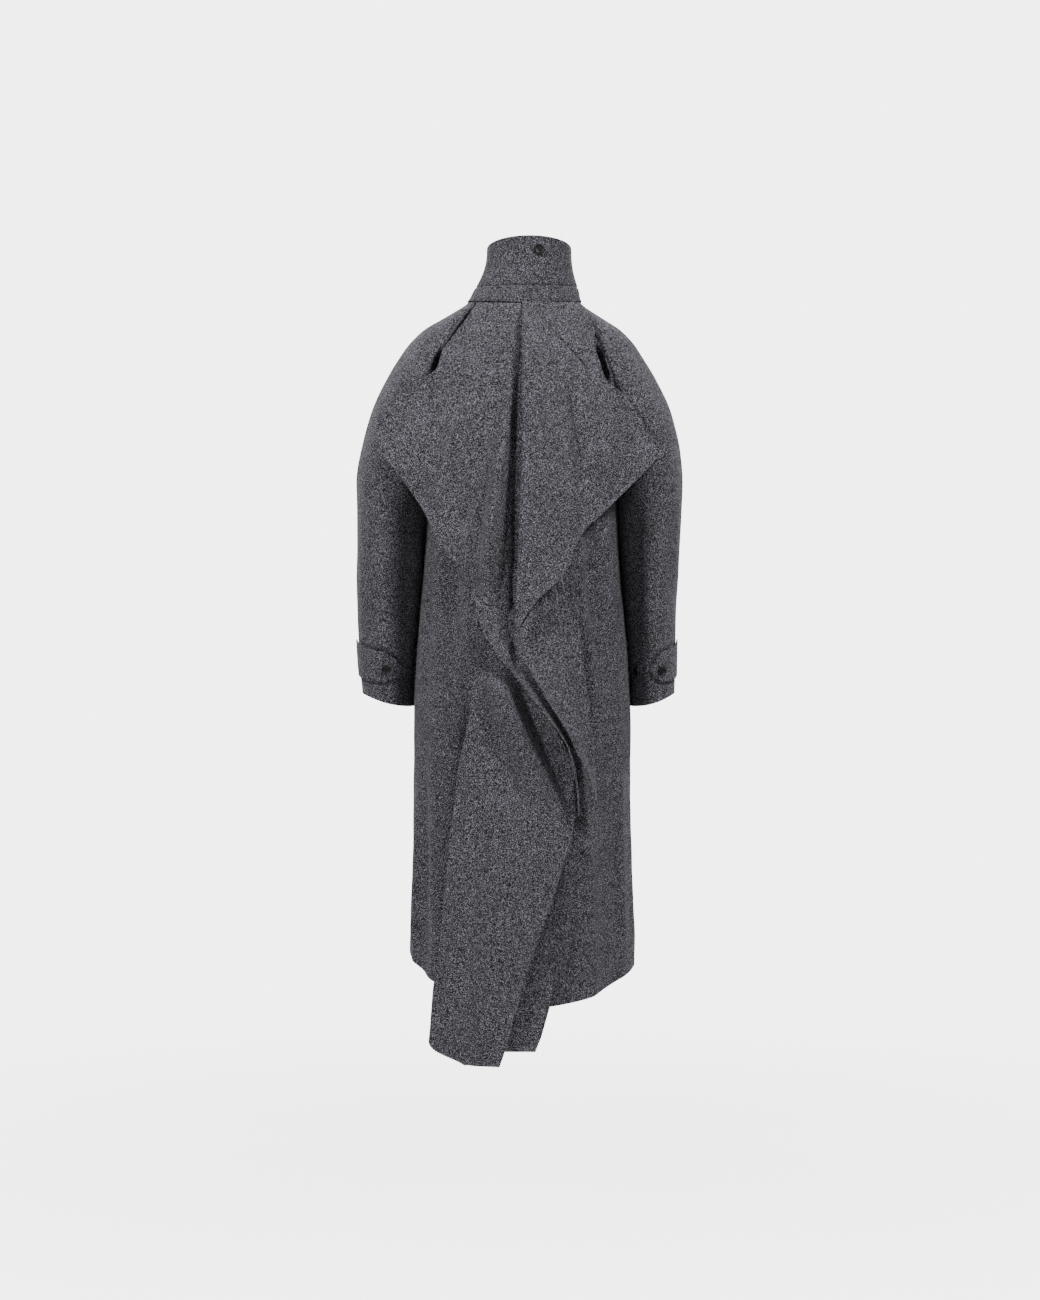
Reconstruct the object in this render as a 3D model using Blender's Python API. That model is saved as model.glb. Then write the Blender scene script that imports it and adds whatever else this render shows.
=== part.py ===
"""A long oversized wool coat with a draped back, filled out with no wearer.

Metres, +Z up. The coat's front faces -Y and its back +Y, so the wearer's left is +X.
The origin is the middle of the neck seam, where the neck and shoulders carry the coat.
The tables below are in millimetres; every point is scaled to metres as its mesh is made.
"""
import bmesh
import bpy
import numpy as np
from mathutils import Vector

METRES = 0.001

# ---------------------------------------------------------------- cloth and seams
CLOTH = 2.5                # wall of the coating
SEAM_GAP = 0.3             # between pieces that are sewn together
RAGLAN_GAP = 0.5           # along the raglan seams, where the walls lean together
STEP = 1e-4                # parameter step for tangents
ROUNDNESS = 2.2            # exponent of the torso's section, 2 is an ellipse

# ---------------------------------------------------------------- lengths
SIDE_HEM = {1: -1082.0, -1: -1103.0}   # height of the hem at the left and right side seams
BACK_HEM = -1178.0         # and at the centre back
FRONT_HEM = -1108.0        # and at the centre front
HEM_BEND = 1.15            # how soon the hem falls away from the side seam
CUFF = -687.0              # height of the sleeve's end at its inner side
CUFF_RISE = 22.0           # how much higher it is at the outer side
NECK_LEAN = -5.0           # the neck stands a little to the wearer's right
NECK_LEAN_FADE = 25.0
BACK_NECK = -11.0          # height of the neck edge at the centre back
RAGLAN_BACK_NECK = -7.0    # at the back raglan seams
SHOULDER_NECK = -4.0       # on the shoulders
RAGLAN_FRONT_NECK = -14.0  # at the front raglan seams
FRONT_NECK = -58.0         # at the centre front
NECK_SCOOP = 0.8           # how round the front neck edge is
FRONT_OVERLAP = 0.16       # share of a front that passes the centre line
OVERLAP_LIFT = 3.8         # left front over right front
OVERLAP_FULL = 0.26        # share of the left front that lies at the full lift
OVERLAP_FADE = 0.2

# One row for each level section. All but the turn are in millimetres.
# outer: half width over the sleeves; side: half width of the torso, at its raglan or side seam
# turn: how far the sleeve's oval goes round before the raglan seam, 180 below the armpit
# middle: where the section's widest line lies; half: half depth of the sleeve
# back, front: depth of the torso; swing: how far the sleeve hangs forward of the middle
# shift: how much further both outer lines lie to the wearer's left
SECTION_COLUMNS = ("height", "outer", "side", "turn", "middle", "half", "back", "front", "swing", "shift")
SECTIONS = (
    (0, 96, 79, 80, 22, 27, 72, 8, 0, 0),
    (-14, 110, 90, 80, 16, 40, 80, 23, 0, 0),
    (-31, 136, 102, 80, 10, 54, 90, 49, 0, 0),
    (-48, 165, 113, 80, 5, 64, 98, 71, 0, 1),
    (-65, 184, 123, 81, 2, 70, 105, 86, 0, 1),
    (-99, 209, 139, 86, 0, 78, 117, 100, 0, 1),
    (-133, 229, 151, 96, 0, 84, 126, 110, 0, 1),
    (-167, 246, 158, 112, 0, 88, 134, 118, 0, 1),
    (-235, 267, 163, 143, -2, 92, 142, 127, 0, 2),
    (-300, 277, 163, 169, -4, 93, 147, 133, 0, 4),
    (-330, 277, 162, 180, -5, 93, 149, 136, 0, 4),
    (-405, 275, 164, 180, -4, 88, 152, 140, -6, 6),
    (-473, 274, 168, 180, -3, 83, 154, 143, -13, 8),
    (-541, 272, 174, 180, -2, 78, 157, 146, -20, 9),
    (-610, 270, 179, 180, -1, 73, 160, 149, -27, 8),
    (-690, 266, 183, 180, 0, 70, 163, 153, -34, 5),
    (-780, 265, 184, 180, 0, 70, 168, 157, -34, 5),
    (-915, 265, 185, 180, 0, 70, 176, 164, -34, 5),
    (-1060, 265, 188, 180, 0, 70, 184, 172, -34, 5),
    (-1200, 265, 192, 180, 0, 70, 191, 180, -34, 5),
    (-1300, 265, 194, 180, 0, 70, 195, 184, -34, 5),
)
ARMPIT = -330.0
SLEEVE_CLEARANCE = 5.0     # between a hanging sleeve and the torso
CLEARANCE_FADE = 70.0

# The torso's largest folds: angle from the centre back towards the wearer's left, the
# heights where the fold starts and is full, its height and its half width in degrees.
TORSO_FOLDS = (
    (74, -760, -1120, 5, 9),
    (50, -520, -1000, 6, 10),
    (28, -700, -1100, -4, 9),
    (-36, -380, -640, 5, 8),
    (-52, -400, -1000, -5, 8),
    (-70, -560, -1080, 6, 8),
    (108, -500, -1050, -5, 10),
    (140, -460, -1060, 5, 12),
    (-112, -520, -1040, 5, 10),
    (-138, -430, -1050, -5, 11),
)

# ---------------------------------------------------------------- collar
COLLAR_WIDTH = 72.0        # half width at the top
COLLAR_DEPTH = 59.0        # half depth at the top
COLLAR_CENTRE = (-12.0, 4.0)
COLLAR_TOP = 88.0          # height of its top edge at the sides
COLLAR_TOP_SLOPE = 16.0    # the back edge is this much higher, the front as much lower
COLLAR_FLARE = 2.2
STAND_SHARE = 0.26         # share of the collar's height that is the stand
COLLAR_SIT = 1.6           # height of the collar's lower edge over the neck edge
COLLAR_SEAM = 1.0          # between the stand and the funnel above it
COLLAR_FRONT_GAP = 0.012   # of the last quarter of the neck edge, where the collar's ends meet

# ---------------------------------------------------------------- draped back
# Each row is a level line of a hanging piece: where its left and right edges are (+X is the
# wearer's left) and how far each edge stands off what it lies on.
DRAPE_COLUMNS = ("height", "left", "right", "left_lift", "right_lift")
TAIL_UNDER = (
    (-862, 20, -77, 4, 4),
    (-900, 22, -74, 4, 4),
    (-968, 27, -69, 5, 5),
    (-1032, 34, -61, 6, 6),
    (-1096, 42, -52, 8, 8),
    (-1173, 52, -43, 10, 11),
    (-1224, 60, -29, 12, 14),
    (-1247, 66, -20, 13, 15),
)
TAIL_OUTER = (
    (-566, 60, 15, 14, 12),
    (-591, 65, 2, 14, 12),
    (-640, 72, -20, 16, 12),
    (-668, 75, -31, 17.5, 12),
    (-700, 78, -42, 19, 12),
    (-724, 82, -54, 20, 11),
    (-748, 87, -66, 21, 10),
    (-767, 91, -75, 21.5, 10),
    (-786, 94, -82, 22, 10),
    (-820, 98, -84, 23, 11),
    (-857, 101, -84, 24, 13),
    (-891, 106, -78, 24, 16),
    (-938, 110, -64, 24.5, 18),
    (-984, 114, -49, 25, 21),
    (-1074, 121, -20, 26, 25),
    (-1146, 130, 0, 27, 28),
    (-1216, 134, 18, 28, 30),
    (-1240, 136, 24, 28, 30),
    (-1252, 125, 27, 28, 30),
    (-1262, 98, 30, 28, 30),
    (-1270, 76, 33, 28, 30),
)
CAPE_LEFT = (
    (-4, 74, -14, 2.0, 2.0),
    (-38, 91, -14, 2.5, 2.5),
    (-50, 99, -14, 2.5, 2.5),
    (-79, 119, -14, 3, 3),
    (-92, 127, -14, 6, 3),
    (-112, 132, -14, 9, 3),
    (-128, 136, -14, 9, 3),
    (-136, 146, -14, 8, 3),
    (-147, 171, -14, 7, 3),
    (-166, 199, -14, 5, 3),
    (-184, 219, -14, 5, 3),
    (-210, 232, -14, 6, 3),
    (-238, 237, -13, 8, 4),
    (-266, 229, -12, 11, 4),
    (-312, 190, -10, 15, 5),
    (-366, 151, -8, 20, 6),
    (-410, 129, -6, 23, 7),
    (-438, 112, -5, 20, 8),
    (-462, 93, -4, 9, 9),
    (-492, 78, -3, 8, 10),
    (-530, 66, -1, 18, 14),
    (-550, 60, 0, 24, 17),
    (-571, 54, 4, 30, 22),
    (-588, 42, 2, 36, 26),
    (-612, 28, -10, 42, 27),
    (-662, -7, -34, 50, 24),
    (-711, -37, -53, 54, 20),
    (-748, -59, -68, 54, 18),
    (-781, -71, -77, 50, 16),
    (-822, -79, -85, 42, 15),
    (-864, -81, -87, 34, 14),
)
FALL_FLAP = (
    (-444, -60, -77, 6, 6),
    (-509, -26, -83, 9, 8),
    (-545, -5, -87, 20, 9),
    (-575, 12, -90, 38, 10),
    (-606, 2, -92, 42, 11),
    (-629, -12, -95, 44, 12),
    (-680, -36, -100, 48, 13),
    (-737, -66, -105, 48, 14),
    (-798, -93, -107, 42, 15),
    (-856, -105, -110, 34, 15),
)
CAPE_RIGHT = (
    (-4, -1, -88, 3.0, 2.5),
    (-32, -1, -107, 8, 2.5),
    (-49, -1, -116, 9, 2.5),
    (-66, -1, -119, 10, 3),
    (-79, -1, -115, 11, 6),
    (-100, -1, -117, 13, 10),
    (-120, -1, -124, 15, 11),
    (-140, -1, -130, 17, 10),
    (-152, -1, -139, 18, 8),
    (-160, -1, -152, 19, 7),
    (-174, -1, -170, 20, 6),
    (-202, -1, -190, 23, 6),
    (-229, -1, -206, 26, 7),
    (-262, 0, -231, 29, 10),
    (-304, 1, -191, 32, 13),
    (-344, 2, -148, 34, 16),
    (-369, 3, -121, 36, 18),
    (-394, 4, -93, 37, 21),
    (-430, 5, -73, 38, 26),
    (-450, 6, -69, 40, 30),
    (-476, 7, -54, 41, 35),
    (-514, 8, -20, 43, 41),
    (-556, 10, 5, 46, 46),
)
# Folds of the hanging pieces: piece, place and height of the fold's two ends, how far it stands
# out (or lies in, negative), its half width, and how much flatter it is at its upper end.
DRAPE_FOLDS = (
    ("cape_left", 10, -90, 60, -560, 22, 15, 0.6),
    ("cape_left", 50, -140, 100, -400, -6, 13, 0.5),
    ("cape_left", 82, -170, 138, -380, 9, 15, 0.6),
    ("cape_left", 190, -190, 176, -330, 4, 14, 0),
    ("cape_right", -22, -60, -22, -500, 5, 15, 0.6),
    ("cape_right", -66, -130, -92, -330, -7, 12, 0.5),
    ("cape_right", -108, -170, -116, -330, 5, 12, 0.4),
    ("cape_right", -150, -175, -134, -320, 4, 14, 0),
    ("fall_flap", -66, -540, -100, -840, 5, 12, 0),
    ("tail_outer", 52, -600, -34, -860, 22, 22, 0),
    ("tail_outer", 22, -610, -82, -850, -6, 16, 0),
    ("tail_outer", 6, -840, 56, -1262, 6, 17, 0.4),
    ("tail_outer", 66, -760, 104, -1262, -4, 16, 0.4),
)
FOLD_FADE = 0.3            # share of a fold's length over which it grows
FOLD_END = 0.3             # how much of it is left at its lower end
FOLD_NARROWING = 0.6       # how much narrower a fold is where it is flatter
LEAST_LIFT = 1.6           # of a hanging piece in its valleys
# From the innermost layer out: name, table and cells across.
DRAPE_LAYERS = (
    ("tail_under", TAIL_UNDER, 5),
    ("tail_outer", TAIL_OUTER, 16),
    ("cape_left", CAPE_LEFT, 14),
    ("fall_flap", FALL_FLAP, 7),
    ("cape_right", CAPE_RIGHT, 14),
)
LAYER_GAP = 0.9            # air between two layers of the drape
LAYER_REACH = 22.0         # an upper layer stays lifted this far past a lower layer's edge
LAYER_RAMP = 30.0          # and then comes down over this length
NECK_HALF_WIDTH = 84.0     # the drape's upper rows follow the neck edge, which is this wide
NECK_CURVE_FADE = 60.0     # down to this far below it

# ---------------------------------------------------------------- tabs and buttons
# share of the tab's length, its upper and lower edge
TAB_COLUMNS = ("share", "upper", "lower")
CUFF_TAB = (
    (0.0, -574, -634),
    (0.35, -590, -643),
    (0.68, -597, -645),
    (0.86, -608, -639),
    (1.0, -622, -627),
)
TAB_START = 6.0            # degrees round the sleeve from its outer line
TAB_LIFT = 1.0
TAB_ENDS = {"left": 124.0, "right": 98.0}
BUTTON_RINGS = ((0.80, 0.0), (1.0, 0.9), (1.0, 3.0), (0.86, 3.8), (0.68, 3.0))
BUTTON_SIDES = 14
BUTTON_LIFT = 0.6
COAT_BUTTON = 9.0          # radius on the collar and the front
CUFF_BUTTON = 8.0
COLLAR_BUTTON_TURN = 12.0  # degrees round the collar, towards the wearer's right
COLLAR_BUTTON_SHARE = 0.80
FRONT_BUTTON_HEIGHTS = (-100, -250, -400, -550, -700)
# name, wearer's side, angle round the sleeve, height, whether it sits on the tab
CUFF_BUTTONS = (
    ("button_cuff_left_tab", "left", 91.0, -624.0, True),
    ("button_cuff_left_inner", "left", 160.0, -620.0, False),
    ("button_cuff_right_tab", "right", 73.0, -626.0, True),
    ("button_cuff_right_inner", "right", 133.0, -629.0, False),
)

# ---------------------------------------------------------------- cells across each piece
BACK_CELLS = 8
FRONT_CELLS = 9
SLEEVE_CELLS = 8
TAB_CELLS = 10
BACK_ROWS = 24
FRONT_ROWS = 22
SLEEVE_ROWS = 18
TORSO_CROWDING = 1.6       # rows lie closer together near the neck
SLEEVE_CROWDING = 1.4

WOOL = ("wool_melange", (0.115, 0.112, 0.128, 1.0), 0.95)
WOOL_EDGE = ("wool_collar", (0.088, 0.086, 0.100, 1.0), 0.95)
HORN = ("button_dark", (0.020, 0.020, 0.024, 1.0), 0.35)


# ---------------------------------------------------------------- curves through the tables
def column(table, columns, name):
    """One named column of a table, as numbers."""
    return np.array([row[columns.index(name)] for row in table], float)


def smooth_curve(knots, values, at):
    """A smooth curve through values at rising knots."""
    slopes = np.gradient(values, knots)
    at = np.clip(at, knots[0], knots[-1])
    index = np.clip(np.searchsorted(knots, at) - 1, 0, len(knots) - 2)
    span = knots[index + 1] - knots[index]
    part = (at - knots[index]) / span
    start = (1 + 2 * part) * (1 - part) ** 2 * values[index]
    start_slope = part * (1 - part) ** 2 * span * slopes[index]
    end = part ** 2 * (3 - 2 * part) * values[index + 1]
    end_slope = part ** 2 * (part - 1) * span * slopes[index + 1]
    return start + start_slope + end + end_slope


def section(name, height):
    """A column of SECTIONS at any height."""
    knots = column(SECTIONS, SECTION_COLUMNS, "height")[::-1]
    values = column(SECTIONS, SECTION_COLUMNS, name)[::-1]
    return smooth_curve(knots, values, np.asarray(height, float))


def turn_angle(height):
    """Angle at which the sleeve's oval meets the raglan seam, in radians."""
    return np.radians(np.where(height <= ARMPIT, 180.0, np.minimum(section("turn", height), 180.0)))


def ease(value):
    """0 to 1 with soft ends."""
    value = np.clip(value, 0.0, 1.0)
    return value * value * (3 - 2 * value)


def neck_lean(height):
    """Sideways shift of the coat towards its neck."""
    return NECK_LEAN * np.exp(np.minimum(height, 0.0) / NECK_LEAN_FADE)


def torso_fold(angle, height):
    """How far the torso's folds stand out, angle in degrees from the centre back."""
    total = np.zeros(np.broadcast(angle, height).shape)
    for centre, start, full, rise, spread in TORSO_FOLDS:
        along = ease((start - height) / (start - full))
        total = total + rise * along * np.exp(-((angle - centre) / spread) ** 2)
    return total


# ---------------------------------------------------------------- the coat's own surfaces
def torso_point(reach, height, face):
    """Outer face of the torso. reach: -1 right seam, 0 centre, 1 left seam; face: 1 back, -1 front."""
    height = np.asarray(height, float)
    middle = section("middle", height)
    side = section("side", height)
    behind = section("half", height) * np.sin(turn_angle(height))
    depth = section("back", height) - middle if face > 0 else section("front", height) + middle
    wide = side / (1 - np.clip(behind / depth, 0, 0.995) ** ROUNDNESS) ** (1 / ROUNDNESS)
    angle = reach * np.arctan2(side, behind)
    across = np.abs(np.sin(angle)) / wide
    along = np.abs(np.cos(angle)) / depth
    radius = (across ** ROUNDNESS + along ** ROUNDNESS) ** (-1 / ROUNDNESS)
    turned = np.degrees(angle)
    around = turned if face > 0 else np.sign(turned + 1e-9) * (180 - np.abs(turned))
    radius = radius + torso_fold(around, height)
    x = radius * np.sin(angle) + neck_lean(height)
    return np.stack([x, middle + face * radius * np.cos(angle), height + 0 * x], axis=-1)


def sleeve_oval(height, side):
    """Centre, half width and half depth of a sleeve's section, and its turn."""
    turn = turn_angle(height)
    clearance = SLEEVE_CLEARANCE * ease((ARMPIT - height) / CLEARANCE_FADE) + SEAM_GAP
    inner = section("side", height) + np.where(height < ARMPIT, clearance, 0.0)
    outer = section("outer", height) + side * section("shift", height)
    centre = (inner - outer * np.cos(turn)) / (1 - np.cos(turn))
    return centre, outer - centre, section("half", height), turn


def sleeve_angle_point(side, angle, height):
    """Outer face of a sleeve. side: 1 wearer's left, -1 right; angle from the outer line to the back."""
    height = np.asarray(height, float)
    centre, half_width, half_depth, _ = sleeve_oval(height, side)
    x = side * (centre + half_width * np.cos(angle)) + neck_lean(height)
    y = section("middle", height) + section("swing", height) + half_depth * np.sin(angle)
    return np.stack([x, y, height + 0 * x], axis=-1)


def back_neck(reach):
    """Height of the neck edge along the back, 0 centre, 1 raglan seam."""
    return BACK_NECK + (RAGLAN_BACK_NECK - BACK_NECK) * reach ** 2


def sleeve_neck(share, face):
    """Height of the neck edge along the sleeve head, 0 outer line, 1 raglan seam."""
    raglan = RAGLAN_BACK_NECK if face > 0 else RAGLAN_FRONT_NECK
    return SHOULDER_NECK + (raglan - SHOULDER_NECK) * share ** 2


def front_neck(reach):
    """Height of the scooped neck edge along the front, 0 centre, 1 raglan seam."""
    fall = (1 - np.clip(np.abs(reach), 0, 1) ** 2) ** NECK_SCOOP
    return RAGLAN_FRONT_NECK + (FRONT_NECK - RAGLAN_FRONT_NECK) * fall


def sewn(share, unit, start_gap, end_gap):
    """A share moved in from both seams. unit: the piece's width in millimetres at that height."""
    return start_gap / 2 / unit + share * (1 - (start_gap + end_gap) / 2 / unit)


def hem_height(share, side, centre):
    """Height of the hem, share 0 at the centre to 1 at the side seam."""
    fall = np.maximum(np.cos(share * np.pi / 2), 0.0) ** HEM_BEND
    return SIDE_HEM[side] + (centre - SIDE_HEM[side]) * fall


def back_surface(share, down, side):
    """Back panel, share 0 centre to 1 seam, down 0 neck to 1 hem."""
    hem = hem_height(share, side, BACK_HEM)
    height = back_neck(share) + (hem - back_neck(share)) * down
    share = sewn(share, section("side", height), SEAM_GAP, RAGLAN_GAP)
    return torso_point(side * share, height, 1)


def front_surface(share, down, side):
    """Front panel, share from just past the centre to 1 at the seam."""
    hem = hem_height(share, side, FRONT_HEM)
    height = front_neck(share) + (hem - front_neck(share)) * down
    share = sewn(share, section("side", height), 0.0, RAGLAN_GAP)
    points = torso_point(side * share, height, -1)
    if side > 0:
        points[..., 1] -= OVERLAP_LIFT * ease((OVERLAP_FULL + OVERLAP_FADE - share) / OVERLAP_FADE)
    return points


def sleeve_surface(share, down, side, face):
    """Half of a sleeve, share 0 outer line to 1 raglan or underarm seam, down 0 neck to 1 cuff."""
    cuff = CUFF + CUFF_RISE * ((1 + np.cos(share * np.pi)) / 2) ** 2
    height = sleeve_neck(share, face) + (cuff - sleeve_neck(share, face)) * down
    _, half_width, _, turn = sleeve_oval(height, side)
    share = sewn(share, half_width * turn, SEAM_GAP, RAGLAN_GAP)
    return sleeve_angle_point(side, face * share * turn, height)


def neck_edge(place, side):
    """The neck edge: place 0 centre back, 1 and 3 raglan seams, 2 shoulder, 4 centre front."""
    place = np.asarray(place, float)
    back = torso_point(side * np.clip(place, 0, 1), back_neck(np.clip(place, 0, 1)), 1)
    head = np.clip(2 - place, 0, 1)
    head_back = sleeve_angle_point(side, head * turn_angle(sleeve_neck(head, 1)), sleeve_neck(head, 1))
    head = np.clip(place - 2, 0, 1)
    head_front = sleeve_angle_point(side, -head * turn_angle(sleeve_neck(head, -1)), sleeve_neck(head, -1))
    reach = np.clip(4 - place, 0, 1)
    front = torso_point(side * reach, front_neck(reach), -1)
    pick = np.clip(np.floor(place), 0, 3).astype(int)[..., None]
    return np.select([pick == 0, pick == 1, pick == 2], [back, head_back, head_front], front)


def collar_surface(place, share):
    """Collar from the centre front round the back to the centre front, place -4 to 4, share 0 to 1 up."""
    foot = np.where((place < 0)[..., None], neck_edge(np.abs(place), -1), neck_edge(np.abs(place), 1))
    around = np.arctan2(foot[..., 0] - NECK_LEAN, foot[..., 1] - COLLAR_CENTRE[1])
    outward = np.stack([np.sin(around), np.cos(around), 0 * around], axis=-1)
    foot = foot + outward * CLOTH
    foot[..., 2] += COLLAR_SIT
    top_x = COLLAR_CENTRE[0] + COLLAR_WIDTH * np.sin(around)
    top_y = COLLAR_CENTRE[1] + COLLAR_DEPTH * np.cos(around)
    top_z = COLLAR_TOP + COLLAR_TOP_SLOPE * np.cos(around)
    flare = (1 - share) ** COLLAR_FLARE
    x = top_x + (foot[..., 0] - top_x) * flare
    y = top_y + (foot[..., 1] - top_y) * flare
    return np.stack([x, y, foot[..., 2] + (top_z - foot[..., 2]) * share], axis=-1)


# ---------------------------------------------------------------- what the drape lies on
HULL_STEP = 5.0            # between the places where the taut surface is worked out
HULL_DROP = 10.0           # and between its level rows
HULL_ACROSS = np.arange(-290.0, 290.0 + HULL_STEP / 2, HULL_STEP)
HULL_HEIGHTS = np.arange(-1290.0, HULL_DROP / 2, HULL_DROP)
TORSO_SAMPLES = 61
SLEEVE_SAMPLES = 31


def upper_hull(points):
    """The taut outline over points that run along x."""
    hull = []
    for point in sorted(map(tuple, points)):
        while len(hull) > 1:
            (ax, ay), (bx, by) = hull[-2], hull[-1]
            if (bx - ax) * (point[1] - ay) < (by - ay) * (point[0] - ax):
                break
            hull.pop()
        hull.append(point)
    return np.array(hull)


def hull_row(height):
    """Depth of a cloth pulled over the torso and the sleeves at one height."""
    reach = np.linspace(-1, 1, TORSO_SAMPLES)
    points = [torso_point(reach, np.full(TORSO_SAMPLES, height), 1)[:, :2]]
    if height > CUFF:
        angles = np.linspace(0, 1, SLEEVE_SAMPLES) * turn_angle(height)
        level = np.full(SLEEVE_SAMPLES, height)
        points += [sleeve_angle_point(side, angles, level)[:, :2] for side in (1, -1)]
    hull = upper_hull(np.concatenate(points))
    return np.interp(HULL_ACROSS, hull[:, 0], hull[:, 1])


HULL = np.array([hull_row(height) for height in HULL_HEIGHTS])


def backdrop(x, height):
    """Depth of the taut surface at any place, read between its rows."""
    column_at = np.clip((x - HULL_ACROSS[0]) / HULL_STEP, 0, len(HULL_ACROSS) - 1.001)
    row_at = np.clip((height - HULL_HEIGHTS[0]) / HULL_DROP, 0, len(HULL_HEIGHTS) - 1.001)
    i, j = row_at.astype(int), column_at.astype(int)
    up, over = row_at - i, column_at - j
    low = HULL[i, j] * (1 - over) + HULL[i, j + 1] * over
    high = HULL[i + 1, j] * (1 - over) + HULL[i + 1, j + 1] * over
    return low * (1 - up) + high * up


def drape_row(table, height):
    """A hanging piece's columns at any height, and how far the height lies past its ends."""
    heights = column(table, DRAPE_COLUMNS, "height")
    rows = {name: np.interp(-height, -heights, column(table, DRAPE_COLUMNS, name)) for name in DRAPE_COLUMNS}
    return rows, np.maximum(0, np.maximum(height - heights[0], heights[-1] - height))


def drape_fold(name, x, height):
    """How far the folds of one hanging piece stand out."""
    total = np.zeros(np.broadcast(x, height).shape)
    for piece, start_x, start, end_x, end, rise, spread, flatter in DRAPE_FOLDS:
        if piece == name:
            along = np.clip((height - start) / (end - start), 0, 1)
            centre = start_x + (end_x - start_x) * along
            ends = ease(along / FOLD_FADE) * ease((1 - along) / FOLD_FADE + FOLD_END)
            upper = flatter * (1 - along)
            width = spread * (1 - FOLD_NARROWING * upper)
            total = total + rise * (1 - upper) * ends * np.exp(-((x - centre) / width) ** 2)
    return total


def drape_lift(layer, x, height):
    """How far a layer stands off the taut surface: its own lift, or more where it lies on others."""
    name, table, _ = DRAPE_LAYERS[layer]
    row, _ = drape_row(table, height)
    share = np.clip((row["left"] - x) / (row["left"] - row["right"]), 0, 1)
    lift = row["left_lift"] + (row["right_lift"] - row["left_lift"]) * share
    lift = np.maximum(lift + drape_fold(name, x, height), LEAST_LIFT)
    for lower in range(layer):
        lower_row, lower_past = drape_row(DRAPE_LAYERS[lower][1], height)
        beside = np.maximum(0, np.maximum(x - lower_row["left"], lower_row["right"] - x))
        outside = np.hypot(beside, lower_past)
        cover = ease((LAYER_REACH + LAYER_RAMP - outside) / LAYER_RAMP)
        lift = np.maximum(lift, (drape_lift(lower, x, height) + CLOTH + LAYER_GAP) * cover)
    return lift


def drape_surface(share, place, layer):
    """Inner face of a hanging piece. share 0 left to 1 right, place counts the table's rows."""
    table = DRAPE_LAYERS[layer][1]
    rows = np.arange(len(table), dtype=float)
    value = {name: np.interp(place, rows, column(table, DRAPE_COLUMNS, name)) for name in DRAPE_COLUMNS}
    x = value["left"] + (value["right"] - value["left"]) * share
    lift = drape_lift(layer, x, value["height"])
    neck = back_neck(x / NECK_HALF_WIDTH)
    height = value["height"] + neck * np.clip(1 + value["height"] / NECK_CURVE_FADE, 0, 1)
    slope_x = (backdrop(x + HULL_STEP, height) - backdrop(x - HULL_STEP, height)) / (2 * HULL_STEP)
    slope_z = (backdrop(x, height + HULL_DROP) - backdrop(x, height - HULL_DROP)) / (2 * HULL_DROP)
    normal = np.stack([-slope_x, np.ones_like(slope_x), -slope_z], axis=-1)
    normal /= np.linalg.norm(normal, axis=-1, keepdims=True)
    base = np.stack([x, backdrop(x, height), height], axis=-1)
    return base + normal * lift[..., None]


# ---------------------------------------------------------------- meshes
def start_scene():
    """Remove whatever the file opened with."""
    for item in list(bpy.data.objects):
        bpy.data.objects.remove(item, do_unlink=True)


def material(look):
    """A plain finish in the piece's colour."""
    name, colour, roughness = look
    made = bpy.data.materials.get(name)
    if made is None:
        made = bpy.data.materials.new(name)
        made.use_nodes = True
        shader = made.node_tree.nodes["Principled BSDF"]
        shader.inputs["Base Color"].default_value = colour
        shader.inputs["Roughness"].default_value = roughness
        shader.inputs["Metallic"].default_value = 0.0
    return made


def add_object(name, vertices, faces, look):
    """A closed body from points in millimetres, shaded smooth."""
    mesh = bpy.data.meshes.new(name)
    mesh.from_pydata([Vector(point) * METRES for point in vertices], [], faces)
    shape = bmesh.new()
    shape.from_mesh(mesh)
    bmesh.ops.recalc_face_normals(shape, faces=shape.faces[:])
    shape.to_mesh(mesh)
    shape.free()
    mesh.shade_smooth()
    mesh.set_sharp_from_angle(angle=0.7)
    item = bpy.data.objects.new(name, mesh)
    item.data.materials.append(material(look))
    bpy.context.collection.objects.link(item)
    return item


def surface_grid(surface, across, along):
    """Points and unit normals of surface(across, along) on a grid."""
    u, v = np.meshgrid(across, along)
    points = surface(u, v)
    low_u = np.clip(u - STEP, across.min(), across.max())
    high_u = np.clip(u + STEP, across.min(), across.max())
    low_v = np.clip(v - STEP, along.min(), along.max())
    high_v = np.clip(v + STEP, along.min(), along.max())
    normals = np.cross(surface(high_u, v) - surface(low_u, v), surface(u, high_v) - surface(u, low_v))
    normals /= np.linalg.norm(normals, axis=-1, keepdims=True)
    return points, normals


def cloth_wall(name, surface, across, along, wall, look, level=False):
    """A wall of cloth on a surface. wall: how far the second face lies outside the first.
    level: the wall is measured level, so that its edges are level too."""
    points, normals = surface_grid(surface, np.asarray(across, float), np.asarray(along, float))
    centre = points.reshape(-1, 3).mean(axis=0) * (1, 0.2, 1)
    if np.sum((points - centre)[..., :2] * normals[..., :2]) < 0:
        normals = -normals
    if level:
        normals[..., 2] = 0
        normals /= np.linalg.norm(normals, axis=-1, keepdims=True)
    rows, columns = points.shape[:2]
    first = points.reshape(-1, 3)
    second = (points + normals * wall).reshape(-1, 3)
    count = rows * columns
    faces = []
    for i in range(rows - 1):
        for j in range(columns - 1):
            a = i * columns + j
            quad = (a, a + 1, a + columns + 1, a + columns)
            faces.append(quad)
            faces.append(tuple(count + corner for corner in reversed(quad)))
    rim = [j for j in range(columns)]
    rim += [i * columns + columns - 1 for i in range(1, rows)]
    rim += [(rows - 1) * columns + j for j in range(columns - 2, -1, -1)]
    rim += [i * columns for i in range(rows - 2, 0, -1)]
    for here, there in zip(rim, rim[1:] + rim[:1]):
        faces.append((there, here, count + here, count + there))
    return add_object(name, np.concatenate([first, second]), faces, look)


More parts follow.
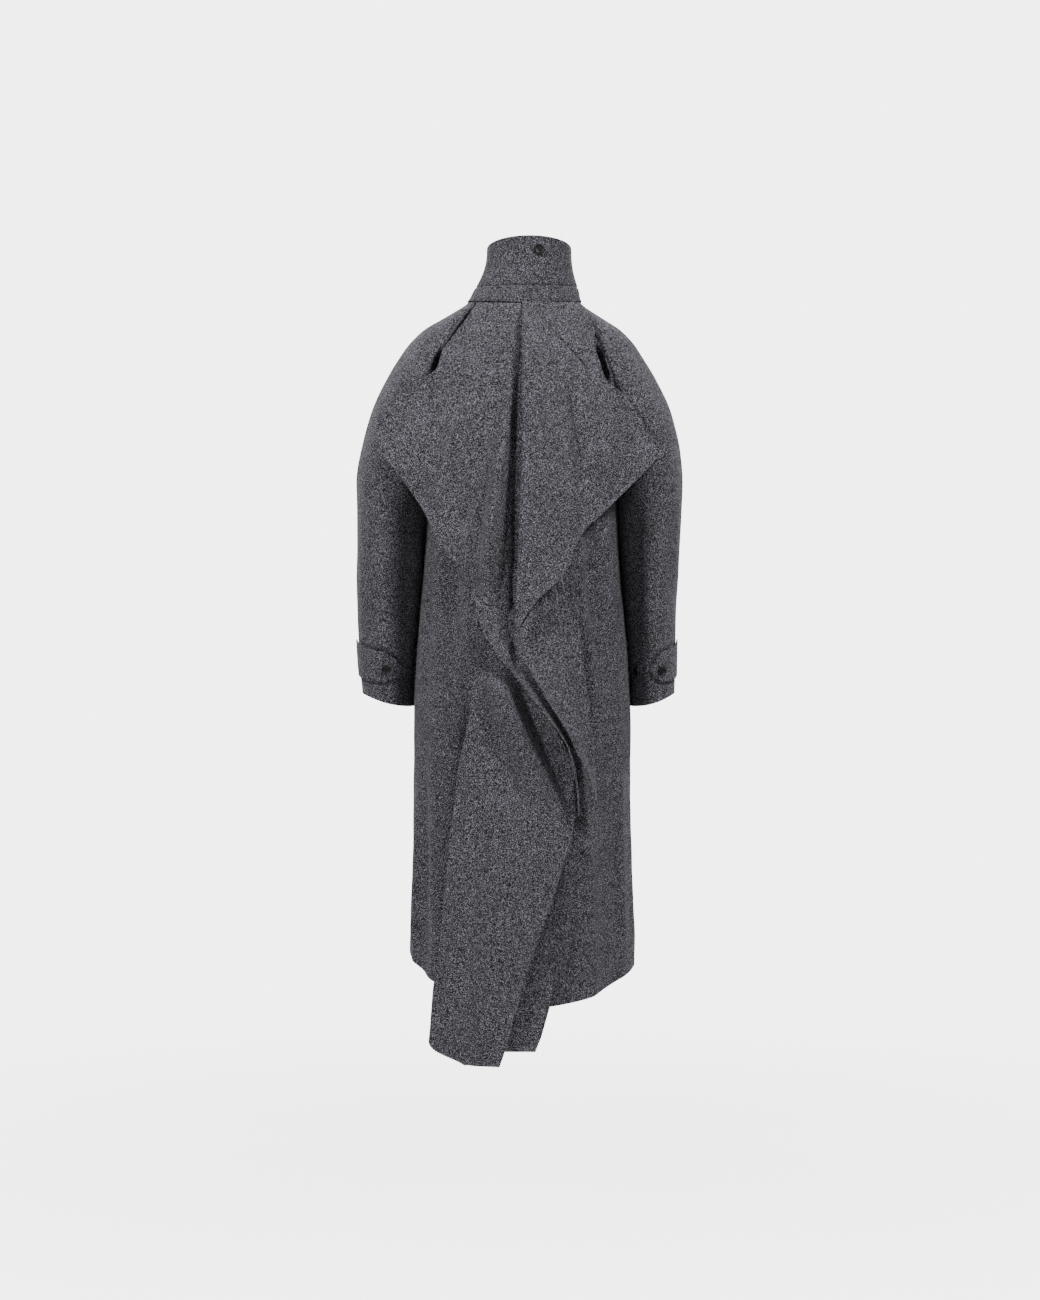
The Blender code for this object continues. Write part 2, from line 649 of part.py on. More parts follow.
def rows_down(count, crowding):
    """Places from 0 to 1 that crowd towards 0."""
    return (np.arange(count + 1) / count) ** crowding


# ---------------------------------------------------------------- pieces
def make_torso():
    for side, label in ((1, "left"), (-1, "right")):
        cloth_wall("back_" + label, lambda u, v, s=side: back_surface(u, v, s),
                   np.linspace(0, 1, BACK_CELLS + 1), rows_down(BACK_ROWS, TORSO_CROWDING),
                   -CLOTH, WOOL)
        cloth_wall("front_" + label, lambda u, v, s=side: front_surface(u, v, s),
                   np.linspace(-FRONT_OVERLAP, 1, FRONT_CELLS + 1),
                   rows_down(FRONT_ROWS, TORSO_CROWDING), -CLOTH, WOOL)


def make_sleeves():
    for side, label in ((1, "left"), (-1, "right")):
        for face, part in ((1, "back"), (-1, "front")):
            cloth_wall("sleeve_%s_%s" % (label, part),
                       lambda u, v, s=side, f=face: sleeve_surface(u, v, s, f),
                       np.linspace(0, 1, SLEEVE_CELLS + 1),
                       rows_down(SLEEVE_ROWS, SLEEVE_CROWDING), -CLOTH, WOOL)


def make_collar():
    front = np.linspace(-FRONT_OVERLAP, 1, FRONT_CELLS + 1)
    front = 4 - np.append(front[front > COLLAR_FRONT_GAP][::-1], COLLAR_FRONT_GAP)
    quarter = np.concatenate([np.linspace(0, 1, 5)[:-1], np.linspace(1, 2, 3)[:-1],
                              np.linspace(2, 3, 5)[:-1], front])
    around = np.concatenate([-quarter[:0:-1], quarter])
    seam = COLLAR_SEAM / 2 / COLLAR_TOP
    cloth_wall("collar_stand", collar_surface, around,
               np.linspace(0, STAND_SHARE - seam, 3), -CLOTH, WOOL_EDGE, level=True)
    cloth_wall("collar", collar_surface, around,
               np.linspace(STAND_SHARE + seam, 1, 5), -CLOTH, WOOL_EDGE, level=True)


def make_drape():
    for layer, (name, table, columns) in enumerate(DRAPE_LAYERS):
        cloth_wall(name, lambda u, v, n=layer: drape_surface(u, v, n),
                   np.linspace(0, 1, columns + 1), np.arange(len(table)), CLOTH, WOOL)


def tab_surface(share, drop, side, end):
    """Inner face of a cuff tab, share along it, drop 0 upper edge to 1 lower edge."""
    shares = column(CUFF_TAB, TAB_COLUMNS, "share")
    upper = np.interp(share, shares, column(CUFF_TAB, TAB_COLUMNS, "upper"))
    lower = np.interp(share, shares, column(CUFF_TAB, TAB_COLUMNS, "lower"))
    height = upper + (lower - upper) * drop
    angle = np.radians(TAB_START + (end - TAB_START) * share)
    _, half_width, half_depth, _ = sleeve_oval(height, side)
    outward = np.stack([side * np.cos(angle) / half_width, np.sin(angle) / half_depth, 0 * angle], axis=-1)
    outward /= np.linalg.norm(outward, axis=-1, keepdims=True)
    return sleeve_angle_point(side, angle, height) + outward * TAB_LIFT


def make_tabs():
    for side, label in ((1, "left"), (-1, "right")):
        cloth_wall("cuff_tab_" + label,
                   lambda u, v, s=side, e=TAB_ENDS[label]: tab_surface(u, v, s, e),
                   np.linspace(0, 1, TAB_CELLS + 1), np.linspace(0, 1, 4), CLOTH, WOOL)


def add_button(name, point, normal, radius):
    """A dished round button that sits on a point, facing along a normal."""
    turn = Vector((0, 0, 1)).rotation_difference(Vector(normal))
    foot = Vector(point) + Vector(normal) * BUTTON_LIFT
    vertices = []
    for share, height in BUTTON_RINGS:
        for k in range(BUTTON_SIDES):
            angle = 2 * np.pi * k / BUTTON_SIDES
            corner = Vector((radius * share * np.cos(angle), radius * share * np.sin(angle), height))
            vertices.append(foot + turn @ corner)
    faces = [tuple(range(BUTTON_SIDES))]
    last = (len(BUTTON_RINGS) - 1) * BUTTON_SIDES
    faces.append(tuple(range(last, last + BUTTON_SIDES)))
    for ring in range(len(BUTTON_RINGS) - 1):
        for k in range(BUTTON_SIDES):
            a = ring * BUTTON_SIDES + k
            b = ring * BUTTON_SIDES + (k + 1) % BUTTON_SIDES
            faces.append((a, b, b + BUTTON_SIDES, a + BUTTON_SIDES))
    add_object(name, vertices, faces, HORN)


def point_and_normal(surface, u, v, outward):
    """One point of a surface and its unit normal on the side of outward."""
    here = surface(np.array([[u]]), np.array([[v]]))[0, 0]
    along_u = surface(np.array([[u + STEP]]), np.array([[v]]))[0, 0] - here
    along_v = surface(np.array([[u]]), np.array([[v + STEP]]))[0, 0] - here
    normal = np.cross(along_u, along_v)
    normal /= np.linalg.norm(normal)
    return here, normal if np.dot(normal, outward) > 0 else -normal


def make_buttons():
    point, normal = point_and_normal(collar_surface, -COLLAR_BUTTON_TURN / 45, COLLAR_BUTTON_SHARE, (0, 1, 0))
    add_button("button_collar", point, normal, COAT_BUTTON)
    for name, label, angle, height, on_tab in CUFF_BUTTONS:
        side = 1 if label == "left" else -1
        way = (side * np.cos(np.radians(angle)), np.sin(np.radians(angle)), 0)
        point, normal = point_and_normal(
            lambda u, v, s=side: sleeve_angle_point(s, np.radians(u), v), angle, height, way)
        stack = TAB_LIFT + CLOTH if on_tab else 0.0
        add_button(name, point + normal * stack, normal, CUFF_BUTTON)
    for number, height in enumerate(FRONT_BUTTON_HEIGHTS, 1):
        point, normal = point_and_normal(
            lambda u, v: torso_point(u, v, -1), 0.0, float(height), (0, -1, 0))
        add_button("button_front_%d" % number, point + normal * OVERLAP_LIFT, normal, COAT_BUTTON)


start_scene()
make_torso()
make_sleeves()
make_collar()
make_drape()
make_tabs()
make_buttons()
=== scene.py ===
"""Looks of the long oversized wool coat with a draped back: folds, seams, edges, wool and buttons.

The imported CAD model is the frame. Lengths in the tables are in millimetres, +Z up, the coat's
front faces -Y and its back +Y, as in the model; each mesh is scaled to metres as it is made.
"""
import math

import bmesh
import bpy
import numpy as np
from mathutils import Matrix, Vector


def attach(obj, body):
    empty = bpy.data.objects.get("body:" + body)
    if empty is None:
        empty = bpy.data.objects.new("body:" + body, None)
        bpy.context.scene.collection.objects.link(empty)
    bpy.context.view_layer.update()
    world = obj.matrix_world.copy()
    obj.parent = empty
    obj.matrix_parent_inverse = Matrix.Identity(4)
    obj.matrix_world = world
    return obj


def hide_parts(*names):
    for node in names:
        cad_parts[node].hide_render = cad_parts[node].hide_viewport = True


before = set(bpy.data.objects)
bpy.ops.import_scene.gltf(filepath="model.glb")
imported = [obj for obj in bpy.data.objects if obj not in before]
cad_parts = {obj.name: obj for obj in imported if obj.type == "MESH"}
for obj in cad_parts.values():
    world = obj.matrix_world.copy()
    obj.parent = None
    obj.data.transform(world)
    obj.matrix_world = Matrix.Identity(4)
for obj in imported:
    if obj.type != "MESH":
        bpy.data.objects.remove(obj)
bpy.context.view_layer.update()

METRES = 0.001
SIDES = {1: "left", -1: "right"}  # of the wearer, +X is left

# ---------------- cloth and seams
CLOTH = 2.5  # wall of the coating
SEAM_GAP = 0.3  # between pieces that are sewn together
RAGLAN_GAP = 0.5  # along the raglan seams
STEP = 1e-4  # parameter step for tangents
WIDEST_SHARE = 0.995  # of a section's depth at which the sleeve may leave the torso
LAST_CELL = 1.001  # keeps a place within the last cell of a table
OVERLAP_CLEAR = 0.01  # between the lines of the fronts' overlap and the first line beyond it
ROUNDNESS = 2.2  # exponent of the torso's section, 2 is an ellipse
CELL = 4.0  # size of a cell of the shells' meshes
EDGE_ROUND = 0.8  # how far a cut edge bulges at the middle of the wall
SEAM_DIP = 1.5  # depth of the groove along a seam
SEAM_REACH = 4.0  # and how far it reaches into the panel

# ---------------- lengths, as in the model
SIDE_HEM = {1: -1082.0, -1: -1103.0}
BACK_HEM = -1178.0
FRONT_HEM = -1108.0
HEM_BEND = 1.15
CUFF = -687.0
CUFF_RISE = 22.0
NECK_LEAN = -5.0
NECK_LEAN_FADE = 25.0
BACK_NECK = -11.0
RAGLAN_BACK_NECK = -7.0
SHOULDER_NECK = -4.0
RAGLAN_FRONT_NECK = -14.0
FRONT_NECK = -58.0
NECK_SCOOP = 0.8
FRONT_OVERLAP = 0.16
OVERLAP_LIFT = 3.8
OVERLAP_FULL = 0.26
OVERLAP_FADE = 0.2

# One row for each level section. All but the turn are in millimetres.
# outer: half width over the sleeves; side: half width of the torso, at its raglan or side seam
# turn: how far the sleeve's oval goes round before the raglan seam, 180 below the armpit
# middle: where the section's widest line lies; half: half depth of the sleeve
# back, front: depth of the torso; swing: how far the sleeve hangs forward of the middle
# shift: how much further both outer lines lie to the wearer's left
SECTION_COLUMNS = ("height", "outer", "side", "turn", "middle", "half", "back", "front", "swing", "shift")
SECTIONS = (
    (0, 96, 79, 80, 22, 27, 72, 8, 0, 0),
    (-14, 110, 90, 80, 16, 40, 80, 23, 0, 0),
    (-31, 136, 102, 80, 10, 54, 90, 49, 0, 0),
    (-48, 165, 113, 80, 5, 64, 98, 71, 0, 1),
    (-65, 184, 123, 81, 2, 70, 105, 86, 0, 1),
    (-99, 209, 139, 86, 0, 78, 117, 100, 0, 1),
    (-133, 229, 151, 96, 0, 84, 126, 110, 0, 1),
    (-167, 246, 158, 112, 0, 88, 134, 118, 0, 1),
    (-235, 267, 163, 143, -2, 92, 142, 127, 0, 2),
    (-300, 277, 163, 169, -4, 93, 147, 133, 0, 4),
    (-330, 277, 162, 180, -5, 93, 149, 136, 0, 4),
    (-405, 275, 164, 180, -4, 88, 152, 140, -6, 6),
    (-473, 274, 168, 180, -3, 83, 154, 143, -13, 8),
    (-541, 272, 174, 180, -2, 78, 157, 146, -20, 9),
    (-610, 270, 179, 180, -1, 73, 160, 149, -27, 8),
    (-690, 266, 183, 180, 0, 70, 163, 153, -34, 5),
    (-780, 265, 184, 180, 0, 70, 168, 157, -34, 5),
    (-915, 265, 185, 180, 0, 70, 176, 164, -34, 5),
    (-1060, 265, 188, 180, 0, 70, 184, 172, -34, 5),
    (-1200, 265, 192, 180, 0, 70, 191, 180, -34, 5),
    (-1300, 265, 194, 180, 0, 70, 195, 184, -34, 5),
)
ARMPIT = -330.0
SLEEVE_CLEARANCE = 2.0  # between a hanging sleeve and the torso
CLEARANCE_FADE = 70.0

# The torso's largest folds: angle from the centre back towards the wearer's left, the
# heights where the fold starts and is full, its height and its half width in degrees.
TORSO_FOLDS = (
    (74, -760, -1120, 5, 9),
    (50, -520, -1000, 6, 10),
    (28, -700, -1100, -4, 9),
    (-36, -380, -640, 5, 8),
    (-52, -400, -1000, -5, 8),
    (-70, -560, -1080, 6, 8),
    (108, -500, -1050, -5, 10),
    (140, -460, -1060, 5, 12),
    (-112, -520, -1040, 5, 10),
    (-138, -430, -1050, -5, 11),
)

# ---------------- collar
COLLAR_WIDTH = 72.0  # half width at the top
COLLAR_DEPTH = 59.0  # half depth at the top
COLLAR_CENTRE = (-12.0, 4.0)
COLLAR_TOP = 88.0  # height of its top edge at the sides
COLLAR_TOP_SLOPE = 16.0  # the back edge is this much higher, the front as much lower
COLLAR_FLARE = 2.2
STAND_SHARE = 0.26  # share of the collar's height that is the stand
COLLAR_SIT = 1.6  # height of the collar's lower edge over the neck edge
COLLAR_SEAM = 1.0  # between the stand and the funnel above it
COLLAR_FRONT_GAP = 0.012  # of the last quarter of the neck edge, where the collar's ends meet

# ---------------- draped back
# Each row is a level line of a hanging piece: where its left and right edges are (+X is the
# wearer's left) and how far each edge stands off what it lies on.
DRAPE_COLUMNS = ("height", "left", "right", "left_lift", "right_lift")
TAIL_UNDER = (
    (-862, 20, -77, 4, 4),
    (-900, 22, -74, 4, 4),
    (-968, 27, -69, 5, 5),
    (-1032, 34, -61, 6, 6),
    (-1096, 42, -52, 8, 8),
    (-1173, 52, -43, 10, 11),
    (-1224, 60, -29, 12, 14),
    (-1247, 66, -20, 13, 15),
)
TAIL_OUTER = (
    (-566, 60, 15, 14, 12),
    (-591, 65, 2, 14, 12),
    (-640, 72, -20, 16, 12),
    (-700, 78, -42, 19, 12),
    (-748, 87, -66, 21, 10),
    (-786, 94, -82, 22, 10),
    (-857, 101, -84, 24, 13),
    (-891, 106, -78, 24, 16),
    (-984, 114, -49, 25, 21),
    (-1074, 121, -20, 26, 25),
    (-1146, 130, 0, 27, 28),
    (-1216, 134, 18, 28, 30),
    (-1240, 136, 24, 28, 30),
    (-1252, 125, 27, 28, 30),
    (-1262, 98, 30, 28, 30),
    (-1270, 76, 33, 28, 30),
)
CAPE_LEFT = (
    (-4, 74, -14, 2.0, 2.0),
    (-38, 91, -14, 2.5, 2.5),
    (-50, 99, -14, 2.5, 2.5),
    (-79, 119, -14, 3, 3),
    (-92, 127, -14, 6, 3),
    (-112, 132, -14, 9, 3),
    (-128, 136, -14, 9, 3),
    (-136, 146, -14, 8, 3),
    (-147, 171, -14, 7, 3),
    (-166, 199, -14, 5, 3),
    (-184, 219, -14, 5, 3),
    (-210, 232, -14, 6, 3),
    (-238, 237, -13, 8, 4),
    (-266, 229, -12, 11, 4),
    (-312, 190, -10, 15, 5),
    (-366, 151, -8, 20, 6),
    (-410, 129, -6, 23, 7),
    (-438, 112, -5, 20, 8),
    (-462, 93, -4, 9, 9),
    (-492, 78, -3, 8, 10),
    (-530, 66, -1, 18, 14),
    (-550, 60, 0, 24, 17),
    (-571, 54, 4, 30, 22),
    (-588, 42, 2, 36, 26),
    (-612, 28, -10, 42, 27),
    (-662, -7, -34, 50, 24),
    (-711, -37, -53, 54, 20),
    (-748, -59, -68, 54, 18),
    (-781, -71, -77, 50, 16),
    (-822, -79, -85, 42, 15),
    (-864, -81, -87, 34, 14),
)
FALL_FLAP = (
    (-444, -60, -77, 6, 6),
    (-509, -26, -83, 9, 8),
    (-545, -5, -87, 20, 9),
    (-575, 12, -90, 38, 10),
    (-606, 2, -92, 42, 11),
    (-629, -12, -95, 44, 12),
    (-680, -36, -100, 48, 13),
    (-737, -66, -105, 48, 14),
    (-798, -93, -107, 42, 15),
    (-856, -105, -110, 34, 15),
)
CAPE_RIGHT = (
    (-4, -1, -88, 3.0, 2.5),
    (-32, -1, -107, 8, 2.5),
    (-49, -1, -116, 9, 2.5),
    (-66, -1, -119, 10, 3),
    (-79, -1, -115, 11, 6),
    (-100, -1, -117, 13, 10),
    (-120, -1, -124, 15, 11),
    (-140, -1, -130, 17, 10),
    (-152, -1, -139, 18, 8),
    (-160, -1, -152, 19, 7),
    (-174, -1, -170, 20, 6),
    (-202, -1, -190, 23, 6),
    (-229, -1, -206, 26, 7),
    (-262, 0, -231, 29, 10),
    (-304, 1, -191, 32, 13),
    (-344, 2, -148, 34, 16),
    (-369, 3, -121, 36, 18),
    (-394, 4, -93, 37, 21),
    (-430, 5, -73, 38, 26),
    (-450, 6, -69, 40, 30),
    (-476, 7, -54, 41, 35),
    (-514, 8, -20, 43, 41),
    (-556, 10, 5, 46, 46),
)

# From the innermost layer out: name, table and cells across.
DRAPE_LAYERS = (
    ("tail_under", TAIL_UNDER, 5),
    ("tail_outer", TAIL_OUTER, 8),
    ("cape_left", CAPE_LEFT, 10),
    ("fall_flap", FALL_FLAP, 5),
    ("cape_right", CAPE_RIGHT, 10),
)
LAYER_GAP = 0.9  # air between two layers of the drape
LAYER_REACH = 22.0  # an upper layer stays lifted this far past a lower layer's edge
LAYER_RAMP = 30.0  # and then comes down over this length
NECK_HALF_WIDTH = 84.0  # the drape's upper rows follow the neck edge, which is this wide
NECK_CURVE_FADE = 60.0  # down to this far below it

# ---------------- tabs and buttons
# share of the tab's length, its upper and lower edge
TAB_COLUMNS = ("share", "upper", "lower")
CUFF_TAB = (
    (0.0, -574, -634),
    (0.35, -590, -643),
    (0.68, -597, -645),
    (0.86, -608, -639),
    (1.0, -622, -627),
)
TAB_START = 6.0  # degrees round the sleeve from its outer line
TAB_LIFT = 1.0
TAB_ENDS = {"left": 124.0, "right": 98.0}
BUTTON_SIDES = 14
BUTTON_LIFT = 0.6
COAT_BUTTON = 9.0  # radius on the collar and the front
CUFF_BUTTON = 8.0
COLLAR_BUTTON_TURN = 12.0  # degrees round the collar, towards the wearer's right
COLLAR_BUTTON_SHARE = 0.80
FRONT_BUTTON_HEIGHTS = (-100, -250, -400, -550, -700)
# name, side, angle round the sleeve, height, whether it sits on the tab
CUFF_BUTTONS = (
    ("button_cuff_left_tab", 1, 91.0, -624.0, True),
    ("button_cuff_left_inner", 1, 160.0, -620.0, False),
    ("button_cuff_right_tab", -1, 73.0, -626.0, True),
    ("button_cuff_right_inner", -1, 133.0, -629.0, False),
)

# ---------------- creases
# Soft ridges (rise above 0) and troughs (below 0). at: degrees round from the centre back on the
# torso (+ towards the wearer's left), degrees round from the outer line on a sleeve (+ towards the
# back), X in millimetres on the drape; bow: how far the middle of the crease lies to one side;
# opening: 1 for a crease that starts from nothing, 0 for one that is alike all along.
# Columns: start_at, start, end_at, end, bow, rise, spread, opening.
CREASES = {
    "torso": (
        (68, -300, 62, -700, 2, -6.0, 5, 0.3),
        (57, -330, 50, -700, -2, 3.5, 4, 0.3),
        (40, -420, 34, -820, 2, -2.5, 5, 0.3),
        (72, -800, 67, -1120, 0, 8.0, 3, 0.6),
        (62, -700, 57, -1150, 1, -11.0, 5, 0.4),
        (-47, -300, -46, -560, 1, -12.0, 5, 0.0),
        (-60, -300, -62, -640, 1, 6.0, 4, 0.0),
        (-36, -330, -38, -600, 1, 4.0, 3, 0.2),
        (-66, -340, -70, -720, 0, -5.0, 4, 0.2),
        (-62, -700, -60, -1120, 0, 4.5, 3, 0.6),
        (-74, -760, -73, -1120, 1, 4.5, 3, 0.6),
        (-26, -870, -39, -960, 0, 3.5, 2.5, 0.0),
        (29, -600, 43.5, -1160, 1, -19.0, 3.8, 0.0),
        (38, -640, 49, -1120, 0, -4.0, 6, 0.1),
        (56, -350, 46, -560, 0, -26.0, 7, 0.0),
        (-36, -530, -40.5, -870, 0, -17.0, 3.8, 0.0),
        (120, -250, 130, -1000, -4, 7.0, 6, 0.4),
        (142, -380, 148, -1100, 3, -7.0, 6, 0.5),
        (100, -380, 98, -760, 2, 3.5, 5, 0.3),
        (-124, -280, -133, -980, 4, 7.5, 6, 0.4),
        (-146, -440, -150, -1090, -3, -7.0, 6, 0.5),
        (-101, -400, -99, -800, 2, 3.5, 5, 0.3),
        (160, -560, 162, -1100, 1, 5.5, 5, 0.5),
        (-164, -620, -161, -1100, -1, 5.0, 5, 0.5),
        (131, -150, 120, -420, 3, -5.0, 6, 0.0),
        (-133, -140, -121, -400, -3, -5.0, 6, 0.0),
    ),
    "sleeve_left": (
        (62, -130, 92, -330, 10, -3.0, 15, 0.0),
        (120, -330, 128, -560, 4, -4.0, 14, 0.0),
        (84, -400, 96, -640, -4, 2.5, 16, 0.0),
        (40, -300, 34, -520, 4, 2.0, 14, 0.0),
        (-50, -200, -84, -430, -8, -3.5, 15, 0.0),
        (-110, -320, -120, -600, 0, 3.0, 15, 0.0),
        (-70, -420, -60, -640, 4, 2.5, 14, 0.0),
        (-156, -300, -156, -760, 0, 7.0, 16, 0.0),
    ),
    "sleeve_right": (
        (58, -110, 84, -300, 10, -3.0, 15, 0.0),
        (112, -300, 124, -600, 4, -4.5, 14, 0.0),
        (70, -380, 84, -620, 4, 2.5, 15, 0.0),
        (34, -280, 30, -500, 3, 2.0, 14, 0.0),
        (-52, -180, -82, -420, -8, -3.5, 15, 0.0),
        (-112, -300, -118, -580, 0, 3.0, 15, 0.0),
        (-66, -440, -58, -640, 3, 2.5, 14, 0.0),
        (-156, -230, -156, -760, 0, 8.0, 16, 0.0),
    ),
    "cape_left": (
        (12, -90, 60, -560, 2, 26.0, 13, 0.6),
        (0, -12, 10, -600, 0, -40.0, 9, 0.85),
        (44, -140, 100, -400, -6, -15.0, 13, 0.5),
        (84, -170, 140, -380, 6, 14.0, 13, 0.6),
        (128, -200, 160, -355, 2, -4.0, 7, 0.5),
        (20, -20, 56, -90, 0, -1.5, 6, 0.0),
        (190, -190, 176, -330, 3, 3.5, 12, 0.0),
    ),
    "cape_right": (
        (-22, -60, -22, -500, 3, 5.0, 15, 0.6),
        (-66, -130, -92, -340, -8, -12.0, 11, 0.5),
        (-108, -170, -116, -330, 2, 5.0, 10, 0.4),
        (-150, -175, -134, -320, 3, 3.5, 13, 0.0),
        (-196, -215, -150, -320, 0, -3.0, 12, 0.0),
    ),
    "fall_flap": (
        (-60, -450, 0, -545, 0, -8.0, 12, 0.0),
        (-66, -540, -100, -840, 5, 5.0, 12, 0.0),
        (-84, -470, -107, -850, -2, 6.0, 7, 0.0),
    ),
    "tail_outer": (
        (58, -590, 118, -1240, -4, 5.0, 9, 0.4),
        (52, -600, -34, -860, 0, 28.0, 19, 0.0),
        (22, -610, -82, -850, 0, -14.0, 13, 0.0),
        (44, -700, 88, -1262, 4, -4.0, 14, 0.4),
        (6, -840, 56, -1262, 6, 5.0, 16, 0.4),
        (-30, -860, 20, -1255, 4, -4.0, 12, 0.4),
        (-62, -860, 0, -1180, 2, 4.0, 12, 0.4),
    ),
    "tail_under": (
        (-40, -900, 0, -1240, 0, 3.5, 12, 0.4),
        (-70, -900, -4, -1150, 0, -9.0, 9, 0.0),
    ),
}
CREASE_ROWS = [(piece, *row) for piece, rows in CREASES.items() for row in rows]
CREASE_FADE = 0.3  # share of a crease's length over which it grows
CREASE_END = 0.3  # how much of it is left at its lower end
NARROWING = 0.6  # how much narrower an opening crease is where it starts
UNEVEN = 0.3  # how much a crease's height varies along it
UNEVEN_LENGTH = 70.0  # and over what length
WAVE_SLOWER = 0.37  # a wave's second part is this much slower than its first
WAVE_SHIFTS = (2.4, 1.1)  # how far each part is shifted from one seed to the next
# The diagonal folds that run from the neck over the drape: the cloth on their lower side stands
# further out. piece, the fold's two ends and the step's height.
DIAGONALS = (
    ("cape_right", -6, -14, -110, -135, 8.0),
    ("cape_left", 14, -22, 52, -75, 1.6),
)
DIAGONAL_WIDTH = 3.5
DIAGONAL_GROOVE = 1.3  # depth of the line along it, as a share of its rise
DIAGONAL_START = 0.12  # shares of a diagonal's length over which it grows and fades
DIAGONAL_FADE = 0.4
DIAGONAL_END = 1.15
RIPPLE = 0.7  # height of the cloth's small unevenness
RIPPLE_LENGTHS = (170.0, 96.0, 61.0, 37.0)
RIPPLE_FADE = 90.0  # it grows from nothing over this height below the neck
RIPPLE_WAY = 0.4  # radians, the direction of the first ripple
RIPPLE_TURN = 1.3  # and how far each one is turned from the one before
RIPPLE_TILTS = (0.6, 0.55)  # how much of a direction lies front to back, and up and down
RIPPLE_SHIFT = 2.1
RIPPLE_CALM = 1.5  # the higher, the more alike the ripples are in height
# The raglan seams beside the cape's edges, and the open slits that they end in: the two ends, the
# depth and half width of the hollow, and the share of its length over which it deepens.
SLITS = (
    (77, -8, 131, -92, 12, 4, 0.1),
    (-90, -6, -122, -72, 12, 4, 0.1),
    (134, -88, 146, -136, 26, 7, 0.35),
    (-120, -72, -141, -156, 28, 8, 0.35),
)
SLIT_SHAPE = 3  # above 2, so that the hollow is flatter than a bell at its bottom
# The stand's soft roll over the neck seam.
ROLL_RISE = 3.0
ROLL_PLACE = 0.085  # share of the collar's height
ROLL_SPREAD = 0.06
ROLL_SIDES = 1.5  # how soon the roll fades towards the sides
ROLL_SIDE_END = 0.2
CORNER_OFFSETS = (-5.0, -2.5, 0.0, 2.5, 5.0)  # heights over which the drape's corners are rounded
LAYER_BLEND = 2.0  # how softly a layer comes to rest on the ones below it
LEAST_LIFT = 1.6
NECK_PULL = 0.055  # how much narrower the neck seam is drawn
NECK_PULL_HEIGHT = -2.0
NECK_PULL_REACH = 14.0
TAB_HOLLOW = 4.5  # the sleeve is drawn in this deep above its tab
TAB_HOLLOW_BELOW = 0.5  # and this share of it below
TAB_HOLLOW_OFF = 2.0
TAB_HOLLOW_REACH = 4.0
TAB_HOLLOW_FADE = 0.06
TAB_HOLLOW_START = 0.2  # share of the tab past which it begins, clear of the outline
EDGE_CURL = 3.5  # the drape's raw edges curl outwards this far
EDGE_REACH = 6.0
EDGE_FADE = 150.0  # but less near the neck
SLOPE_REACH = 8.0  # the taut surface's slope is taken over this distance each way
SHARP_ANGLE = 0.9  # radians, above which two faces meet in an edge

# ---------------- finishes, lengths in metres
WOOL_TINT = (0.990, 0.975, 1.045)
WOOL_LAY = (1.0, 1.0, 0.75)  # the nap's flecks are longer up and down
FIBRE_LAY = (0.6, 1.0, 1.0)
FLECK = 0.0012
FIBRE = 0.0010
CLOUD = 0.06
FLECK_TONES = ((0.42, 0.004), (0.49, 0.018), (0.535, 0.075), (0.60, 0.34))
FIBRE_TONES = ((0.30, 0.62), (0.50, 0.96), (0.72, 1.42))
CLOUD_TONES = ((0.25, 0.90), (0.75, 1.10))
NAP_DEPTH = 0.0005
FIBRE_DEPTH = 0.0003
WOOL_SHEEN = 0.06
SHEEN_ROUGHNESS = 0.45
COLLAR_PAINTED_SHADE = 0.85  # painted shade: the collar is the same wool, given a copy of it this much darker
HORN_STREAK = 0.006
HORN_LAY = (1.0, 1.0, 4.0)
HORN_TONES = ((0.35, (0.004, 0.004, 0.005)), (0.75, (0.020, 0.019, 0.021)))
HORN_DEPTH = 0.00006
TWIST = 0.0006
TWIST_DEPTH = 0.0001
THREAD_TONES = ((0.3, 0.021), (0.7, 0.042))
MOTTLE = 0.4
MOTTLE_DEPTH = 0.0002
FLOOR_TONES = ((0.2, 0.80), (0.8, 0.84))

# ---------------- meshes, in millimetres
PANEL_WIDTH = 200.0  # of a torso panel, about
SLEEVE_WIDTH = 180.0  # of half a sleeve
GROOVE_STEPS = (0.8, 1.8, 3.0, 4.5)  # places of the cells' lines beside a seam
GROOVE_CLEAR = 1.1  # the even lines begin this much further on
DRAPE_CELL = 3.5
MIDDLE_SHARE = 0.2  # a shell's outer side is told from this share of its middle's depth
COLLAR_COLUMNS = 241
STAND_ROWS = 9
COLLAR_ROWS = 24
COLLAR_SEAM_SPREAD = 0.02
COLLAR_SAG = 1.0  # the funnel isn't perfectly round
SAG_FROM, SAG_GROWTH = 0.3, 0.5  # shares of the collar's height
SAG_SEED, SAG_WAVES = 3, 2.1  # which wave it is, and how fast it goes from place to place
QUARTER = 45.0  # degrees round the collar for one place
FRONT_PLACE = 4  # places along the neck edge run from 0 at the centre back to here
TAB_LINES_ALONG = 50
TAB_LINES_ACROSS = 14
BUTTON_PROFILE = ((0.80, 0.0), (0.96, 0.4), (1.0, 1.1), (1.0, 2.7), (0.97, 3.4), (0.88, 3.8),
                  (0.78, 3.7), (0.70, 3.1), (0.60, 2.7), (0.30, 2.5))
BUTTON_SHARP_ANGLE = 0.6
COLLAR_BUTTON_SPIN = 0.3  # radians, how the buttons are turned on their threads
CUFF_BUTTON_SPIN = 0.5  # more from one to the next, and so on the front
FRONT_BUTTON_SPIN = 0.4
HOLES = 4
HOLE_SHARE = 0.11  # radius of a sewing hole and its place, as shares of the button's radius
HOLE_PLACE = 0.33
HOLE_SIDES = 12
DRILL = 20.0  # length of the tool that cuts the holes
THREAD_STEPS = 8
THREAD_TOP = 3.2
THREAD_DIP = 1.6
THREAD_RADIUS = 0.32
THREAD_SIDES = 6
